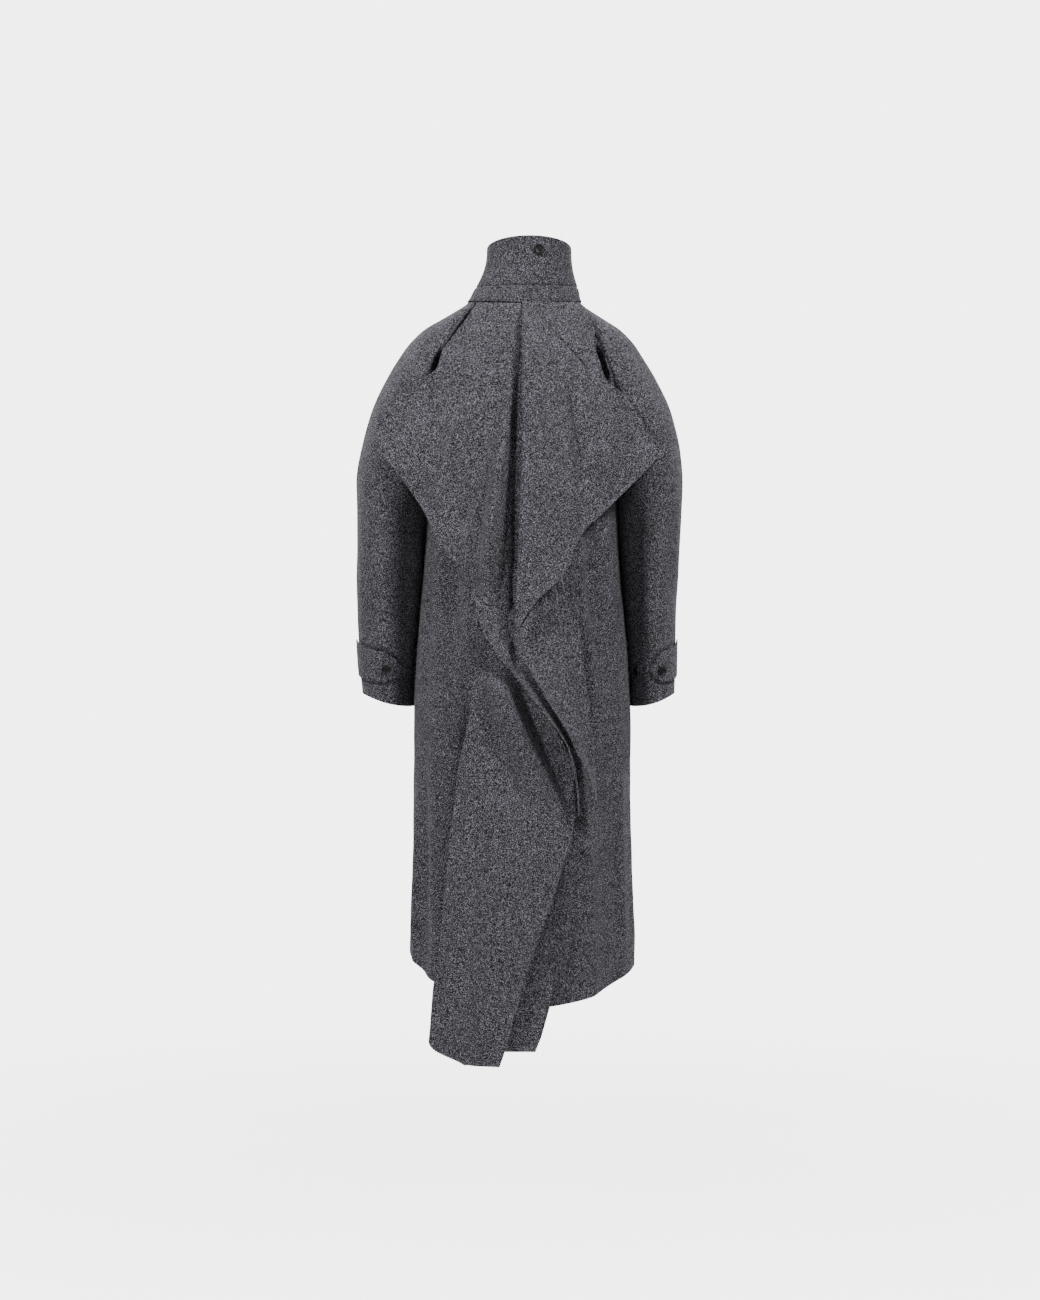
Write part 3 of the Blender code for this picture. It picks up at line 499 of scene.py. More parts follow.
THREAD_BEND = 4  # the higher, the more sharply a strand turns down into its holes
THREAD_REACH = 1.1  # the thread's ends lie this share past the holes' middles
STRAND_OFF = 0.35  # half the way between two strands

# ---------------- studio, in metres
VIEW_CENTRE = (0.0034, -0.592)  # X and Z of the middle of the view
VIEW_TALL = 2.21  # height of the view at the coat's middle
CAMERA_AWAY = 5.0
SENSOR = 36.0  # in millimetres, as Blender counts it
MIDDLE = -0.6  # height that the lights face
FLOOR = -1.42
FLOOR_HALF = 30.0
WORLD_LIGHT = 0.09  # strength of the light from all round
BACKDROP = 5.0  # and of what the camera sees there
FLOOR_GLOW = 0.62  # share of the backdrop's strength that the floor has below the coat
FLOOR_FADE = (0.5, 2.4)  # metres from there over which it takes on the backdrop's tone
LIGHT_SIZE = 0.4
# name, place and power in watts
LIGHTS = (
    ("right_key", (-1.5, 1.55, 1.35), 55),
    ("left_key", (1.6, 1.5, 1.35), 62),
    ("front_left_key", (1.5, -1.55, 1.35), 62),
    ("front_right_key", (-1.6, -1.5, 1.35), 52),
)


# ---------------- vectors and curves through the tables
def unit(vectors):
    """Vectors at length 1."""
    return vectors / np.maximum(np.linalg.norm(vectors, axis=-1, keepdims=True), 1e-9)


def level_way(x, y):
    """Level vectors."""
    return np.stack([x, y, 0 * x], axis=-1)


def column(table, columns, name):
    """One named column of a table, as numbers."""
    return np.array([row[columns.index(name)] for row in table], float)


def smooth_curve(knots, values, at):
    """A smooth curve through values at rising knots."""
    slopes = np.gradient(values, knots)
    at = np.clip(at, knots[0], knots[-1])
    index = np.clip(np.searchsorted(knots, at) - 1, 0, len(knots) - 2)
    span = knots[index + 1] - knots[index]
    part = (at - knots[index]) / span
    start = (1 + 2 * part) * (1 - part) ** 2 * values[index]
    start_slope = part * (1 - part) ** 2 * span * slopes[index]
    end = part ** 2 * (3 - 2 * part) * values[index + 1]
    end_slope = part ** 2 * (part - 1) * span * slopes[index + 1]
    return start + start_slope + end + end_slope


def section(name, height):
    """A column of SECTIONS at any height."""
    knots = column(SECTIONS, SECTION_COLUMNS, "height")[::-1]
    values = column(SECTIONS, SECTION_COLUMNS, name)[::-1]
    return smooth_curve(knots, values, np.asarray(height, float))


def turn_angle(height):
    """Angle at which the sleeve's oval meets the raglan seam, in radians."""
    return np.radians(np.where(height <= ARMPIT, 180.0, np.minimum(section("turn", height), 180.0)))


def ease(value):
    """0 to 1 with soft ends."""
    value = np.clip(value, 0.0, 1.0)
    return value * value * (3 - 2 * value)


def neck_lean(height):
    """Sideways shift of the coat towards its neck."""
    return NECK_LEAN * np.exp(np.minimum(height, 0.0) / NECK_LEAN_FADE)


def torso_fold(angle, height):
    """How far the torso's folds stand out, angle in degrees from the centre back."""
    total = np.zeros(np.broadcast(angle, height).shape)
    for centre, start, full, rise, spread in TORSO_FOLDS:
        along = ease((start - height) / (start - full))
        total = total + rise * along * np.exp(-((angle - centre) / spread) ** 2)
    return total


# ---------------- the coat's own surfaces
def torso_point(reach, height, face):
    """Outer face of the torso. reach: -1 right seam, 0 centre, 1 left seam; face: 1 back, -1 front."""
    height = np.asarray(height, float)
    middle = section("middle", height)
    side = section("side", height)
    behind = section("half", height) * np.sin(turn_angle(height))
    depth = section("back", height) - middle if face > 0 else section("front", height) + middle
    wide = side / (1 - np.clip(behind / depth, 0, WIDEST_SHARE) ** ROUNDNESS) ** (1 / ROUNDNESS)
    angle = reach * np.arctan2(side, behind)
    across = np.abs(np.sin(angle)) / wide
    along = np.abs(np.cos(angle)) / depth
    radius = (across ** ROUNDNESS + along ** ROUNDNESS) ** (-1 / ROUNDNESS)
    turned = np.degrees(angle)
    around = turned if face > 0 else np.sign(turned + 1e-9) * (180 - np.abs(turned))
    radius = radius + torso_fold(around, height)
    x = radius * np.sin(angle) + neck_lean(height)
    return np.stack([x, middle + face * radius * np.cos(angle), height + 0 * x], axis=-1)


def sleeve_oval(height, side):
    """Centre, half width and half depth of a sleeve's section, and its turn."""
    turn = turn_angle(height)
    clearance = SLEEVE_CLEARANCE * ease((ARMPIT - height) / CLEARANCE_FADE) + SEAM_GAP
    inner = section("side", height) + np.where(height < ARMPIT, clearance, 0.0)
    outer = section("outer", height) + side * section("shift", height)
    centre = (inner - outer * np.cos(turn)) / (1 - np.cos(turn))
    return centre, outer - centre, section("half", height), turn


def sleeve_angle_point(side, angle, height):
    """Outer face of a sleeve. side: 1 wearer's left, -1 right; angle from the outer line to the back."""
    height = np.asarray(height, float)
    centre, half_width, half_depth, _ = sleeve_oval(height, side)
    x = side * (centre + half_width * np.cos(angle)) + neck_lean(height)
    y = section("middle", height) + section("swing", height) + half_depth * np.sin(angle)
    return np.stack([x, y, height + 0 * x], axis=-1)


def back_neck(reach):
    """Height of the neck edge along the back, 0 centre, 1 raglan seam."""
    return BACK_NECK + (RAGLAN_BACK_NECK - BACK_NECK) * reach ** 2


def sleeve_neck(share, face):
    """Height of the neck edge along the sleeve head, 0 outer line, 1 raglan seam."""
    raglan = RAGLAN_BACK_NECK if face > 0 else RAGLAN_FRONT_NECK
    return SHOULDER_NECK + (raglan - SHOULDER_NECK) * share ** 2


def front_neck(reach):
    """Height of the scooped neck edge along the front, 0 centre, 1 raglan seam."""
    fall = (1 - np.clip(np.abs(reach), 0, 1) ** 2) ** NECK_SCOOP
    return RAGLAN_FRONT_NECK + (FRONT_NECK - RAGLAN_FRONT_NECK) * fall


def sewn(share, width, start_gap, end_gap):
    """A share moved in from both seams. width: of the piece in millimetres at that height."""
    return start_gap / 2 / width + share * (1 - (start_gap + end_gap) / 2 / width)


def hem_height(share, side, centre):
    """Height of the hem, share 0 at the centre to 1 at the side seam."""
    fall = np.maximum(np.cos(share * np.pi / 2), 0.0) ** HEM_BEND
    return SIDE_HEM[side] + (centre - SIDE_HEM[side]) * fall


def neck_edge(place, side):
    """The neck edge: place 0 centre back, 1 and 3 raglan seams, 2 shoulder, 4 centre front."""
    place = np.asarray(place, float)
    back = torso_point(side * np.clip(place, 0, 1), back_neck(np.clip(place, 0, 1)), 1)
    head = np.clip(2 - place, 0, 1)
    head_back = sleeve_angle_point(side, head * turn_angle(sleeve_neck(head, 1)), sleeve_neck(head, 1))
    head = np.clip(place - 2, 0, 1)
    head_front = sleeve_angle_point(side, -head * turn_angle(sleeve_neck(head, -1)), sleeve_neck(head, -1))
    reach = np.clip(FRONT_PLACE - place, 0, 1)
    front = torso_point(side * reach, front_neck(reach), -1)
    pick = np.clip(np.floor(place), 0, 3).astype(int)[..., None]
    return np.select([pick == 0, pick == 1, pick == 2], [back, head_back, head_front], front)


def collar_surface(place, share):
    """Collar from the centre front round the back to the centre front, place -4 to 4, share 0 to 1 up."""
    foot = np.where((place < 0)[..., None], neck_edge(np.abs(place), -1), neck_edge(np.abs(place), 1))
    around = np.arctan2(foot[..., 0] - NECK_LEAN, foot[..., 1] - COLLAR_CENTRE[1])
    outward = level_way(np.sin(around), np.cos(around))
    foot = foot + outward * CLOTH
    foot[..., 2] += COLLAR_SIT
    top_x = COLLAR_CENTRE[0] + COLLAR_WIDTH * np.sin(around)
    top_y = COLLAR_CENTRE[1] + COLLAR_DEPTH * np.cos(around)
    top_z = COLLAR_TOP + COLLAR_TOP_SLOPE * np.cos(around)
    flare = (1 - share) ** COLLAR_FLARE
    x = top_x + (foot[..., 0] - top_x) * flare
    y = top_y + (foot[..., 1] - top_y) * flare
    return np.stack([x, y, foot[..., 2] + (top_z - foot[..., 2]) * share], axis=-1)


# ---------------- what the drape lies on
HULL_STEP = 2.5  # between the places where the taut surface is worked out
HULL_DROP = 5.0  # and between its level rows
HULL_ACROSS = np.arange(-290.0, 290.0 + HULL_STEP / 2, HULL_STEP)
HULL_HEIGHTS = np.arange(-1290.0, HULL_DROP / 2, HULL_DROP)
TORSO_SAMPLES = 81
SLEEVE_SAMPLES = 61
HULL_SMOOTHING = 12


def upper_hull(points):
    """The taut outline over points that run along x."""
    hull = []
    for point in sorted(map(tuple, points)):
        while len(hull) > 1:
            (ax, ay), (bx, by) = hull[-2], hull[-1]
            if (bx - ax) * (point[1] - ay) < (by - ay) * (point[0] - ax):
                break
            hull.pop()
        hull.append(point)
    return np.array(hull)


def hull_row(height):
    """Depth of a cloth pulled over the torso and the sleeves at one height."""
    reach = np.linspace(-1, 1, TORSO_SAMPLES)
    points = [torso_point(reach, np.full(TORSO_SAMPLES, height), 1)[:, :2]]
    if height > CUFF:
        angles = np.linspace(0, 1, SLEEVE_SAMPLES) * turn_angle(height)
        level = np.full(SLEEVE_SAMPLES, height)
        points += [sleeve_angle_point(side, angles, level)[:, :2] for side in (1, -1)]
    hull = upper_hull(np.concatenate(points))
    return np.interp(HULL_ACROSS, hull[:, 0], hull[:, 1])


def smoothed(grid, times):
    """A grid with its small corners taken off."""
    for _ in range(times):
        wide = np.pad(grid, 1, mode="edge")
        grid = (wide[:-2, 1:-1] + wide[2:, 1:-1] + wide[1:-1, :-2] + wide[1:-1, 2:] + 2 * grid) / 6
    return grid


HULL = smoothed(np.array([hull_row(height) for height in HULL_HEIGHTS]), HULL_SMOOTHING)


def backdrop(x, height):
    """Depth of the taut surface at any place, read between its rows."""
    column_at = np.clip((x - HULL_ACROSS[0]) / HULL_STEP, 0, len(HULL_ACROSS) - LAST_CELL)
    row_at = np.clip((height - HULL_HEIGHTS[0]) / HULL_DROP, 0, len(HULL_HEIGHTS) - LAST_CELL)
    i, j = row_at.astype(int), column_at.astype(int)
    up, over = row_at - i, column_at - j
    low = HULL[i, j] * (1 - over) + HULL[i, j + 1] * over
    high = HULL[i + 1, j] * (1 - over) + HULL[i + 1, j + 1] * over
    return low * (1 - up) + high * up


# ---------------- folds and unevenness
def wave(seed, at):
    """A slow wave between -1 and 1 that differs from seed to seed."""
    return np.sin(at + WAVE_SHIFTS[0] * seed) * np.cos(WAVE_SLOWER * at + WAVE_SHIFTS[1] * seed)


def creases(piece, across, height):
    """How far the creases of one piece stand out."""
    total = np.zeros(np.broadcast(across, height).shape)
    for seed, (owner, start_at, start, end_at, end, bow, rise, spread, opening) in enumerate(CREASE_ROWS):
        if owner != piece:
            continue
        along = np.clip((height - start) / (end - start), 0, 1)
        centre = start_at + (end_at - start_at) * along + bow * np.sin(np.pi * along)
        ends = ease(along / CREASE_FADE) * ease((1 - along) / CREASE_FADE + CREASE_END)
        closed = opening * (1 - along)
        strength = rise * (1 - closed) * (1 + UNEVEN * wave(seed, height / UNEVEN_LENGTH))
        width = spread * (1 - NARROWING * closed)
        total = total + strength * ends * np.exp(-((across - centre) / width) ** 2)
    return total


def ripple(points):
    """The small unevenness of cloth that has been worn and hung, alike on pieces that meet."""
    total = np.zeros(points.shape[:-1])
    for number, length in enumerate(RIPPLE_LENGTHS):
        turn = RIPPLE_TURN * number + RIPPLE_WAY
        way = [np.cos(turn), RIPPLE_TILTS[0] * np.sin(2 * turn), RIPPLE_TILTS[1] * np.sin(turn)]
        phase = points @ np.array(way) * 2 * np.pi / length + RIPPLE_SHIFT * number
        total = total + np.sin(phase) / (number + RIPPLE_CALM)
    return RIPPLE * total * ease(-points[..., 2] / RIPPLE_FADE)


def diagonal_step(piece, x, height):
    """The cloth below a diagonal fold stands further out, and eases back away from it."""
    total = np.zeros(np.broadcast(x, height).shape)
    for owner, start_x, start, end_x, end, rise in DIAGONALS:
        if owner == piece:
            length = math.hypot(end_x - start_x, end - start)
            way_x, way_z = abs(end_x - start_x) / length, (end - start) / length
            beside = (x - start_x) * np.sign(end_x - start_x)
            along = (beside * way_x + (height - start) * way_z) / length
            off = (height - start) * way_x - beside * way_z
            reach = ease((DIAGONAL_END - along) / DIAGONAL_FADE) * ease(along / DIAGONAL_START)
            step = 0.5 * (1 - np.tanh(off / DIAGONAL_WIDTH))
            total = total + rise * reach * (step - DIAGONAL_GROOVE * np.exp(-(off / DIAGONAL_WIDTH) ** 2))
    return total


def slit_hollow(points):
    """How deep the raglan slits are at points."""
    total = np.zeros(points.shape[:-1])
    for start_x, start, end_x, end, depth, spread, fade in SLITS:
        inside = np.clip((points[..., 2] - start) / (end - start), 0, 1)
        centre = start_x + (end_x - start_x) * inside
        ends = ease(inside / fade) * ease((1 - inside) / fade)
        profile = np.exp(-np.abs((points[..., 0] - centre) / spread) ** SLIT_SHAPE)
        total = total + depth * ends * profile * (points[..., 1] > 0)
    return total


# ---------------- dressed surfaces
def dressed(points, outward, relief):
    """Points moved out by their piece's creases and the ripple, and in along the slits."""
    points = points + outward * (relief + ripple(points))[..., None]
    points[..., 1] -= slit_hollow(points)
    return points


def dressed_torso(reach, height, face):
    """Outer face of the torso with its creases."""
    points = torso_point(reach, height, face)
    way = np.arctan2(points[..., 0] - neck_lean(height), points[..., 1] - section("middle", height))
    outward = level_way(np.sin(way), np.cos(way))
    return dressed(points, outward, creases("torso", np.degrees(way), height))


def tab_edges(share):
    """Heights of a cuff tab's upper and lower edge."""
    shares = column(CUFF_TAB, TAB_COLUMNS, "share")
    return (np.interp(share, shares, column(CUFF_TAB, TAB_COLUMNS, name)) for name in ("upper", "lower"))


def tab_hollow(side, angle, height):
    """How deep the sleeve is drawn in along the outline of its cuff tab."""
    share = (np.degrees(angle) - TAB_START) / (TAB_ENDS[SIDES[side]] - TAB_START)
    upper, lower = tab_edges(share)
    above, below = height - upper, lower - height
    beyond = np.clip((share - 1) / TAB_HOLLOW_FADE, 0, 1)
    beyond = beyond + np.clip((TAB_HOLLOW_START - share) / TAB_HOLLOW_FADE, 0, 1)
    near = np.exp(-((above - TAB_HOLLOW_OFF) / TAB_HOLLOW_REACH) ** 2)
    near = near + TAB_HOLLOW_BELOW * np.exp(-((below - TAB_HOLLOW_OFF) / TAB_HOLLOW_REACH) ** 2)
    return TAB_HOLLOW * near * (1 - np.minimum(beyond, 1))


def dressed_sleeve(side, angle, height):
    """Outer face of a sleeve with its creases."""
    points = sleeve_angle_point(side, angle, height)
    outward = level_way(side * np.cos(angle), np.sin(angle))
    relief = creases("sleeve_" + SIDES[side], np.degrees(angle), height)
    return dressed(points, outward, relief - tab_hollow(side, angle, height))


def seam_dip(share, width, at_start=False):
    """The groove that the panel's edges draw in to at their seams."""
    near = np.minimum(share, 1 - share) if at_start else 1 - share
    return SEAM_DIP * (1 - ease(near * width / SEAM_REACH))


def drawn_in(points, middle_y, dip):
    """Points moved level towards the middle of the coat or sleeve by a dip."""
    return points - level_way(0 * dip, np.sign(points[..., 1] - middle_y)) * dip[..., None]


def back_surface(share, down, side):
    """Back panel, share 0 centre to 1 seam, down 0 neck to 1 hem."""
    hem = hem_height(share, side, BACK_HEM)
    height = back_neck(share) + (hem - back_neck(share)) * down
    width = section("side", height)
    dip = seam_dip(share, width, at_start=True)
    share = sewn(share, width, SEAM_GAP, RAGLAN_GAP)
    return drawn_in(dressed_torso(side * share, height, 1), 0.0, dip)


def front_surface(share, down, side):
    """Front panel, share from just past the centre to 1 at the seam."""
    hem = hem_height(share, side, FRONT_HEM)
    height = front_neck(share) + (hem - front_neck(share)) * down
    width = section("side", height)
    dip = seam_dip(np.clip(share, 0, 1), width)
    share = sewn(share, width, 0.0, RAGLAN_GAP)
    points = drawn_in(dressed_torso(side * share, height, -1), 0.0, dip)
    if side > 0:
        points[..., 1] -= OVERLAP_LIFT * ease((OVERLAP_FULL + OVERLAP_FADE - share) / OVERLAP_FADE)
    return points


def sleeve_surface(share, down, side, face):
    """Half of a sleeve, share 0 outer line to 1 raglan or underarm seam, down 0 neck to 1 cuff."""
    cuff = CUFF + CUFF_RISE * ((1 + np.cos(share * np.pi)) / 2) ** 2
    height = sleeve_neck(share, face) + (cuff - sleeve_neck(share, face)) * down
    _, half_width, _, turn = sleeve_oval(height, side)
    dip = seam_dip(share, half_width * turn)
    share = sewn(share, half_width * turn, SEAM_GAP, RAGLAN_GAP)
    points = dressed_sleeve(side, face * share * turn, height)
    return drawn_in(points, section("middle", height) + section("swing", height), dip)


def softened(table, name, height):
    """A column of a hanging piece's table at any height, its corners a little round."""
    heights = column(table, DRAPE_COLUMNS, "height")
    values = column(table, DRAPE_COLUMNS, name)
    around = [np.interp(-(height + off), -heights, values) for off in CORNER_OFFSETS]
    return sum(around) / len(around)


def drape_lift(layer, x, height):
    """How far a layer stands off the taut surface: its own lift, or more where it lies on others."""
    name, table, _ = DRAPE_LAYERS[layer]
    row = {key: softened(table, key, height) for key in DRAPE_COLUMNS[1:]}
    share = np.clip((row["left"] - x) / (row["left"] - row["right"]), 0, 1)
    lift = row["left_lift"] + (row["right_lift"] - row["left_lift"]) * share
    lift = lift + creases(name, x, height) + diagonal_step(name, x, height)
    for edge in ("left", "right"):
        lift = lift + EDGE_CURL * np.exp(-((x - row[edge]) / EDGE_REACH) ** 2) * ease(-height / EDGE_FADE)
    for lower in range(layer):
        lower_table = DRAPE_LAYERS[lower][1]
        ends = column(lower_table, DRAPE_COLUMNS, "height")
        past = np.maximum(0, np.maximum(height - ends[0], ends[-1] - height))
        left, right = (softened(lower_table, key, height) for key in ("left", "right"))
        beside = np.maximum(0, np.maximum(x - left, right - x))
        cover = ease((LAYER_REACH + LAYER_RAMP - np.hypot(beside, past)) / LAYER_RAMP)
        under = (drape_lift(lower, x, height) + CLOTH + LAYER_GAP) * cover
        lift = (lift + under + np.sqrt((lift - under) ** 2 + LAYER_BLEND ** 2)) / 2
    return np.maximum(lift, LEAST_LIFT)


def drape_surface(share, height, layer):
    """Inner face of a hanging piece. share 0 left to 1 right."""
    table = DRAPE_LAYERS[layer][1]
    left, right = (softened(table, key, height) for key in ("left", "right"))
    x = left + (right - left) * share
    lift = drape_lift(layer, x, height)
    neck = back_neck(x / NECK_HALF_WIDTH)
    height = height + neck * np.clip(1 + height / NECK_CURVE_FADE, 0, 1)
    slope_x = (backdrop(x + SLOPE_REACH, height) - backdrop(x - SLOPE_REACH, height)) / (2 * SLOPE_REACH)
    slope_z = (backdrop(x, height + SLOPE_REACH) - backdrop(x, height - SLOPE_REACH)) / (2 * SLOPE_REACH)
    normal = unit(np.stack([-slope_x, np.ones_like(slope_x), -slope_z], axis=-1))
    base = np.stack([x, backdrop(x, height), height], axis=-1)
    return base + normal * (lift + ripple(base))[..., None]


# ---------------- meshes
def placed(name, data):
    """A new object in the scene."""
    item = bpy.data.objects.new(name, data)
    bpy.context.collection.objects.link(item)
    return item


def closed(shape, name):
    """The mesh of a closed shape, its faces pointing out."""
    mesh = bpy.data.meshes.new(name)
    bmesh.ops.recalc_face_normals(shape, faces=shape.faces[:])
    shape.to_mesh(mesh)
    shape.free()
    mesh.shade_smooth()
    return mesh


def add_mesh(name, vertices, faces, look):
    """A piece from points in millimetres."""
    loose = bpy.data.meshes.new(name)
    loose.from_pydata((np.asarray(vertices) * METRES).tolist(), [], faces)
    shape = bmesh.new()
    shape.from_mesh(loose)
    bpy.data.meshes.remove(loose)
    mesh = closed(shape, name)
    mesh.set_sharp_from_angle(angle=SHARP_ANGLE)
    mesh.materials.append(look)
    return placed(name, mesh)


def neck_drawn(points):
    """Points near the neck seam, which hugs the neck at its sides."""
    near = np.exp(-((points[..., 2] - NECK_PULL_HEIGHT) / NECK_PULL_REACH) ** 2)
    level = (points[..., 0] - NECK_LEAN) * (1 - NECK_PULL * near) + NECK_LEAN
    return np.concatenate([level[..., None], points[..., 1:]], axis=-1)


def surface_grid(surface, across, along):
    """Points and unit normals of surface(across, along) on a grid."""
    u, v = np.meshgrid(across, along)
    points = neck_drawn(surface(u, v))
    return points, unit(np.cross(np.gradient(points, across, axis=1), np.gradient(points, along, axis=0)))


def cloth_shell(name, surface, across, along, wall, look, level=False):
    """A shell of cloth on a surface, with slightly rounded cut edges. wall: how far the second
    face lies outside the first; level: the wall is measured level."""
    points, normals = surface_grid(surface, np.asarray(across, float), np.asarray(along, float))
    centre = points.reshape(-1, 3).mean(axis=0) * (1, MIDDLE_SHARE, 1)
    if np.sum((points - centre)[..., :2] * normals[..., :2]) < 0:
        normals = -normals
    if level:
        normals = unit(normals * (1, 1, 0))
    rows, columns = points.shape[:2]
    count = rows * columns
    first = points.reshape(-1, 3)
    second = (points + normals * wall).reshape(-1, 3)
    corner = (np.arange(rows - 1)[:, None] * columns + np.arange(columns - 1)[None, :]).ravel()
    quads = np.stack([corner, corner + 1, corner + columns + 1, corner + columns], axis=1)
    rim = list(range(columns))
    rim += [i * columns + columns - 1 for i in range(1, rows)]
    rim += [(rows - 1) * columns + j for j in range(columns - 2, -1, -1)]
    rim += [i * columns for i in range(rows - 2, 0, -1)]
    rim = np.array(rim)
    tangent = first[np.roll(rim, -1)] - first[np.roll(rim, 1)]
    outward = unit(np.cross(tangent, normals.reshape(-1, 3)[rim]))
    if np.sum(outward * (first[rim] - first.mean(axis=0))) < 0:
        outward = -outward
    bulge = (first[rim] + second[rim]) / 2 + outward * EDGE_ROUND
    middle = 2 * count + np.arange(len(rim))
    next_rim, next_middle = np.roll(rim, -1), np.roll(middle, -1)
    faces = np.concatenate([
        quads, count + quads[:, ::-1],
        np.stack([next_rim, rim, middle, next_middle], axis=1),
        np.stack([next_middle, middle, count + rim, count + next_rim], axis=1)])
    vertices = np.concatenate([first, second, bulge])
    return add_mesh(name, vertices, faces.tolist(), look)


# ---------------- materials
def add_node(tree, kind, inputs, **settings):
    """A shader node. inputs: each is another node's output, or a value for the socket itself."""
    node = tree.nodes.new("ShaderNode" + kind)
    for name, value in settings.items():
        setattr(node, name, value)
    for name, value in inputs.items():
        if isinstance(value, bpy.types.NodeSocket):
            tree.links.new(value, node.inputs[name])
        else:
            node.inputs[name].default_value = value
    return node


class Finish:
    """One material, built from a few kinds of node over the piece's own coordinates."""

    def __init__(self, name):
        self.material = bpy.data.materials.new(name)
        self.material.use_nodes = True
        self.tree = self.material.node_tree
        self.shader = self.tree.nodes["Principled BSDF"]
        self.place = add_node(self.tree, "TexCoord", {}).outputs["Object"]

    def stretched(self, scale):
        """Coordinates scaled differently along each axis."""
        return add_node(self.tree, "Mapping", {"Vector": self.place, "Scale": scale}).outputs["Vector"]

    def noise(self, vector, size, detail=2.0, roughness=0.5):
        """Noise with features of about size metres."""
        return add_node(self.tree, "TexNoise", {
            "Vector": vector, "Scale": 1 / size, "Detail": detail, "Roughness": roughness}).outputs["Fac"]

    def ramp(self, value, stops):
        """A colour ramp: each stop is a position and a colour."""
        node = add_node(self.tree, "ValToRGB", {"Fac": value})
        elements = node.color_ramp.elements
        while len(elements) < len(stops):
            elements.new(0.5)
        for element, (position, colour) in zip(elements, stops):
            element.position = position
            element.color = (*colour, 1.0)
        return node.outputs["Color"]

    def tinted(self, first, second):
        """Two colours multiplied. Inputs 6 and 7 of the node are its colours, output 2 the result."""
        return add_node(self.tree, "Mix", {0: 1.0, 6: first, 7: second},
                        data_type="RGBA", blend_type="MULTIPLY").outputs[2]

    def bump(self, value, depth, strength=1.0, **under):
        """The normal of a relief that is depth metres high, over the one under it if any."""
        return add_node(self.tree, "Bump", {
            "Strength": strength, "Distance": depth, "Height": value, **under}).outputs["Normal"]

    def done(self, colour, normal, roughness, gloss, sheen=0.0):
        """The material with its colour, relief and gloss."""
        self.tree.links.new(colour, self.shader.inputs["Base Color"])
        self.tree.links.new(normal, self.shader.inputs["Normal"])
        for name, value in (("Roughness", roughness), ("Specular IOR Level", gloss),
                            ("Sheen Weight", sheen), ("Sheen Roughness", SHEEN_ROUGHNESS)):
            self.shader.inputs[name].default_value = value
        return self.material


def greys(tones, shade=1.0, tint=1.0):
    """Stops of a ramp in cool greys: the blue is raised by the wool's tint."""
    return [(place, [value * shade * (1 + (share - 1) * tint) for share in WOOL_TINT])
            for place, value in tones]


def wool(name, shade):
    """Melange coating: pale and dark fibres, a short nap and a soft sheen. shade scales its colour; below
    1 it paints shade into the colour.
    """
    look = Finish(name)
    flecks = look.noise(look.stretched(WOOL_LAY), FLECK, detail=3.0, roughness=0.65)
    fibres = look.noise(look.stretched(FIBRE_LAY), FIBRE, roughness=0.6)
    body = look.ramp(flecks, greys(FLECK_TONES, shade))
    colour = look.tinted(body, look.ramp(fibres, greys(FIBRE_TONES)))
    clouds = look.ramp(look.noise(look.place, CLOUD), greys(CLOUD_TONES, tint=0))
    nap = look.bump(flecks, NAP_DEPTH, strength=0.8)
    nap = look.bump(fibres, FIBRE_DEPTH, strength=0.6, Normal=nap)
    return look.done(look.tinted(colour, clouds), nap, roughness=0.95, gloss=0.15, sheen=WOOL_SHEEN)


def horn(name):
    """Dark polished button stock with faint streaks."""
    look = Finish(name)
    streaks = look.noise(look.stretched(HORN_LAY), HORN_STREAK, detail=3.0, roughness=0.6)
    return look.done(look.ramp(streaks, HORN_TONES), look.bump(streaks, HORN_DEPTH, strength=0.5),
                     roughness=0.42, gloss=0.3)


def thread(name):
    """Twisted sewing thread."""
    look = Finish(name)
    twist = look.noise(look.place, TWIST, roughness=0.6)
    return look.done(look.ramp(twist, greys(THREAD_TONES)), look.bump(twist, TWIST_DEPTH),
                     roughness=0.8, gloss=0.2)


def floor_finish(name):
    """A plain pale studio floor that fades into the backdrop for the camera."""
    look = Finish(name)
    mottle = look.noise(look.place, MOTTLE)
    look.done(look.ramp(mottle, [(place, (value,) * 3) for place, value in FLOOR_TONES]),
              look.bump(mottle, MOTTLE_DEPTH), roughness=0.9, gloss=0.2)
    tree = look.tree
    far = add_node(tree, "VectorMath", {0: look.place}, operation="LENGTH").outputs["Value"]
    fade = add_node(tree, "MapRange", {"Value": far, "From Min": FLOOR_FADE[0], "From Max": FLOOR_FADE[1]},
                    interpolation_type="SMOOTHSTEP").outputs["Result"]
    share = add_node(tree, "Math", {0: fade, 1: 1 - FLOOR_GLOW, 2: FLOOR_GLOW},
                     operation="MULTIPLY_ADD").outputs["Value"]
    seen = add_node(tree, "LightPath", {}).outputs["Is Camera Ray"]
    share = add_node(tree, "Math", {0: share, 1: seen}, operation="MULTIPLY").outputs["Value"]
    glow = add_node(tree, "Emission", {"Strength": BACKDROP}).outputs["Emission"]
    either = add_node(tree, "MixShader", {"Fac": share, 1: look.shader.outputs["BSDF"], 2: glow})
    tree.links.new(either.outputs["Shader"], tree.nodes["Material Output"].inputs["Surface"])
    return look.material


# ---------------- pieces of cloth
def hung(piece, node):
    """The piece stands for its CAD node and stays with the coat."""
    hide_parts(node)
    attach(piece, "root")


def spaced(length, cell, near_start=False, near_end=False):
    """Shares from 0 to 1 about a cell apart, closer together beside a seam's groove."""
    shares = np.linspace(0, 1, max(3, int(round(length / cell)) + 1))
    groove = np.array(GROOVE_STEPS) / length
    clear = groove[-1] * GROOVE_CLEAR
    if near_start:
        shares = np.concatenate([[0.0], groove, shares[shares > clear]])
    if near_end:
        shares = np.concatenate([shares[shares < 1 - clear], 1 - groove[::-1], [1.0]])
    return shares


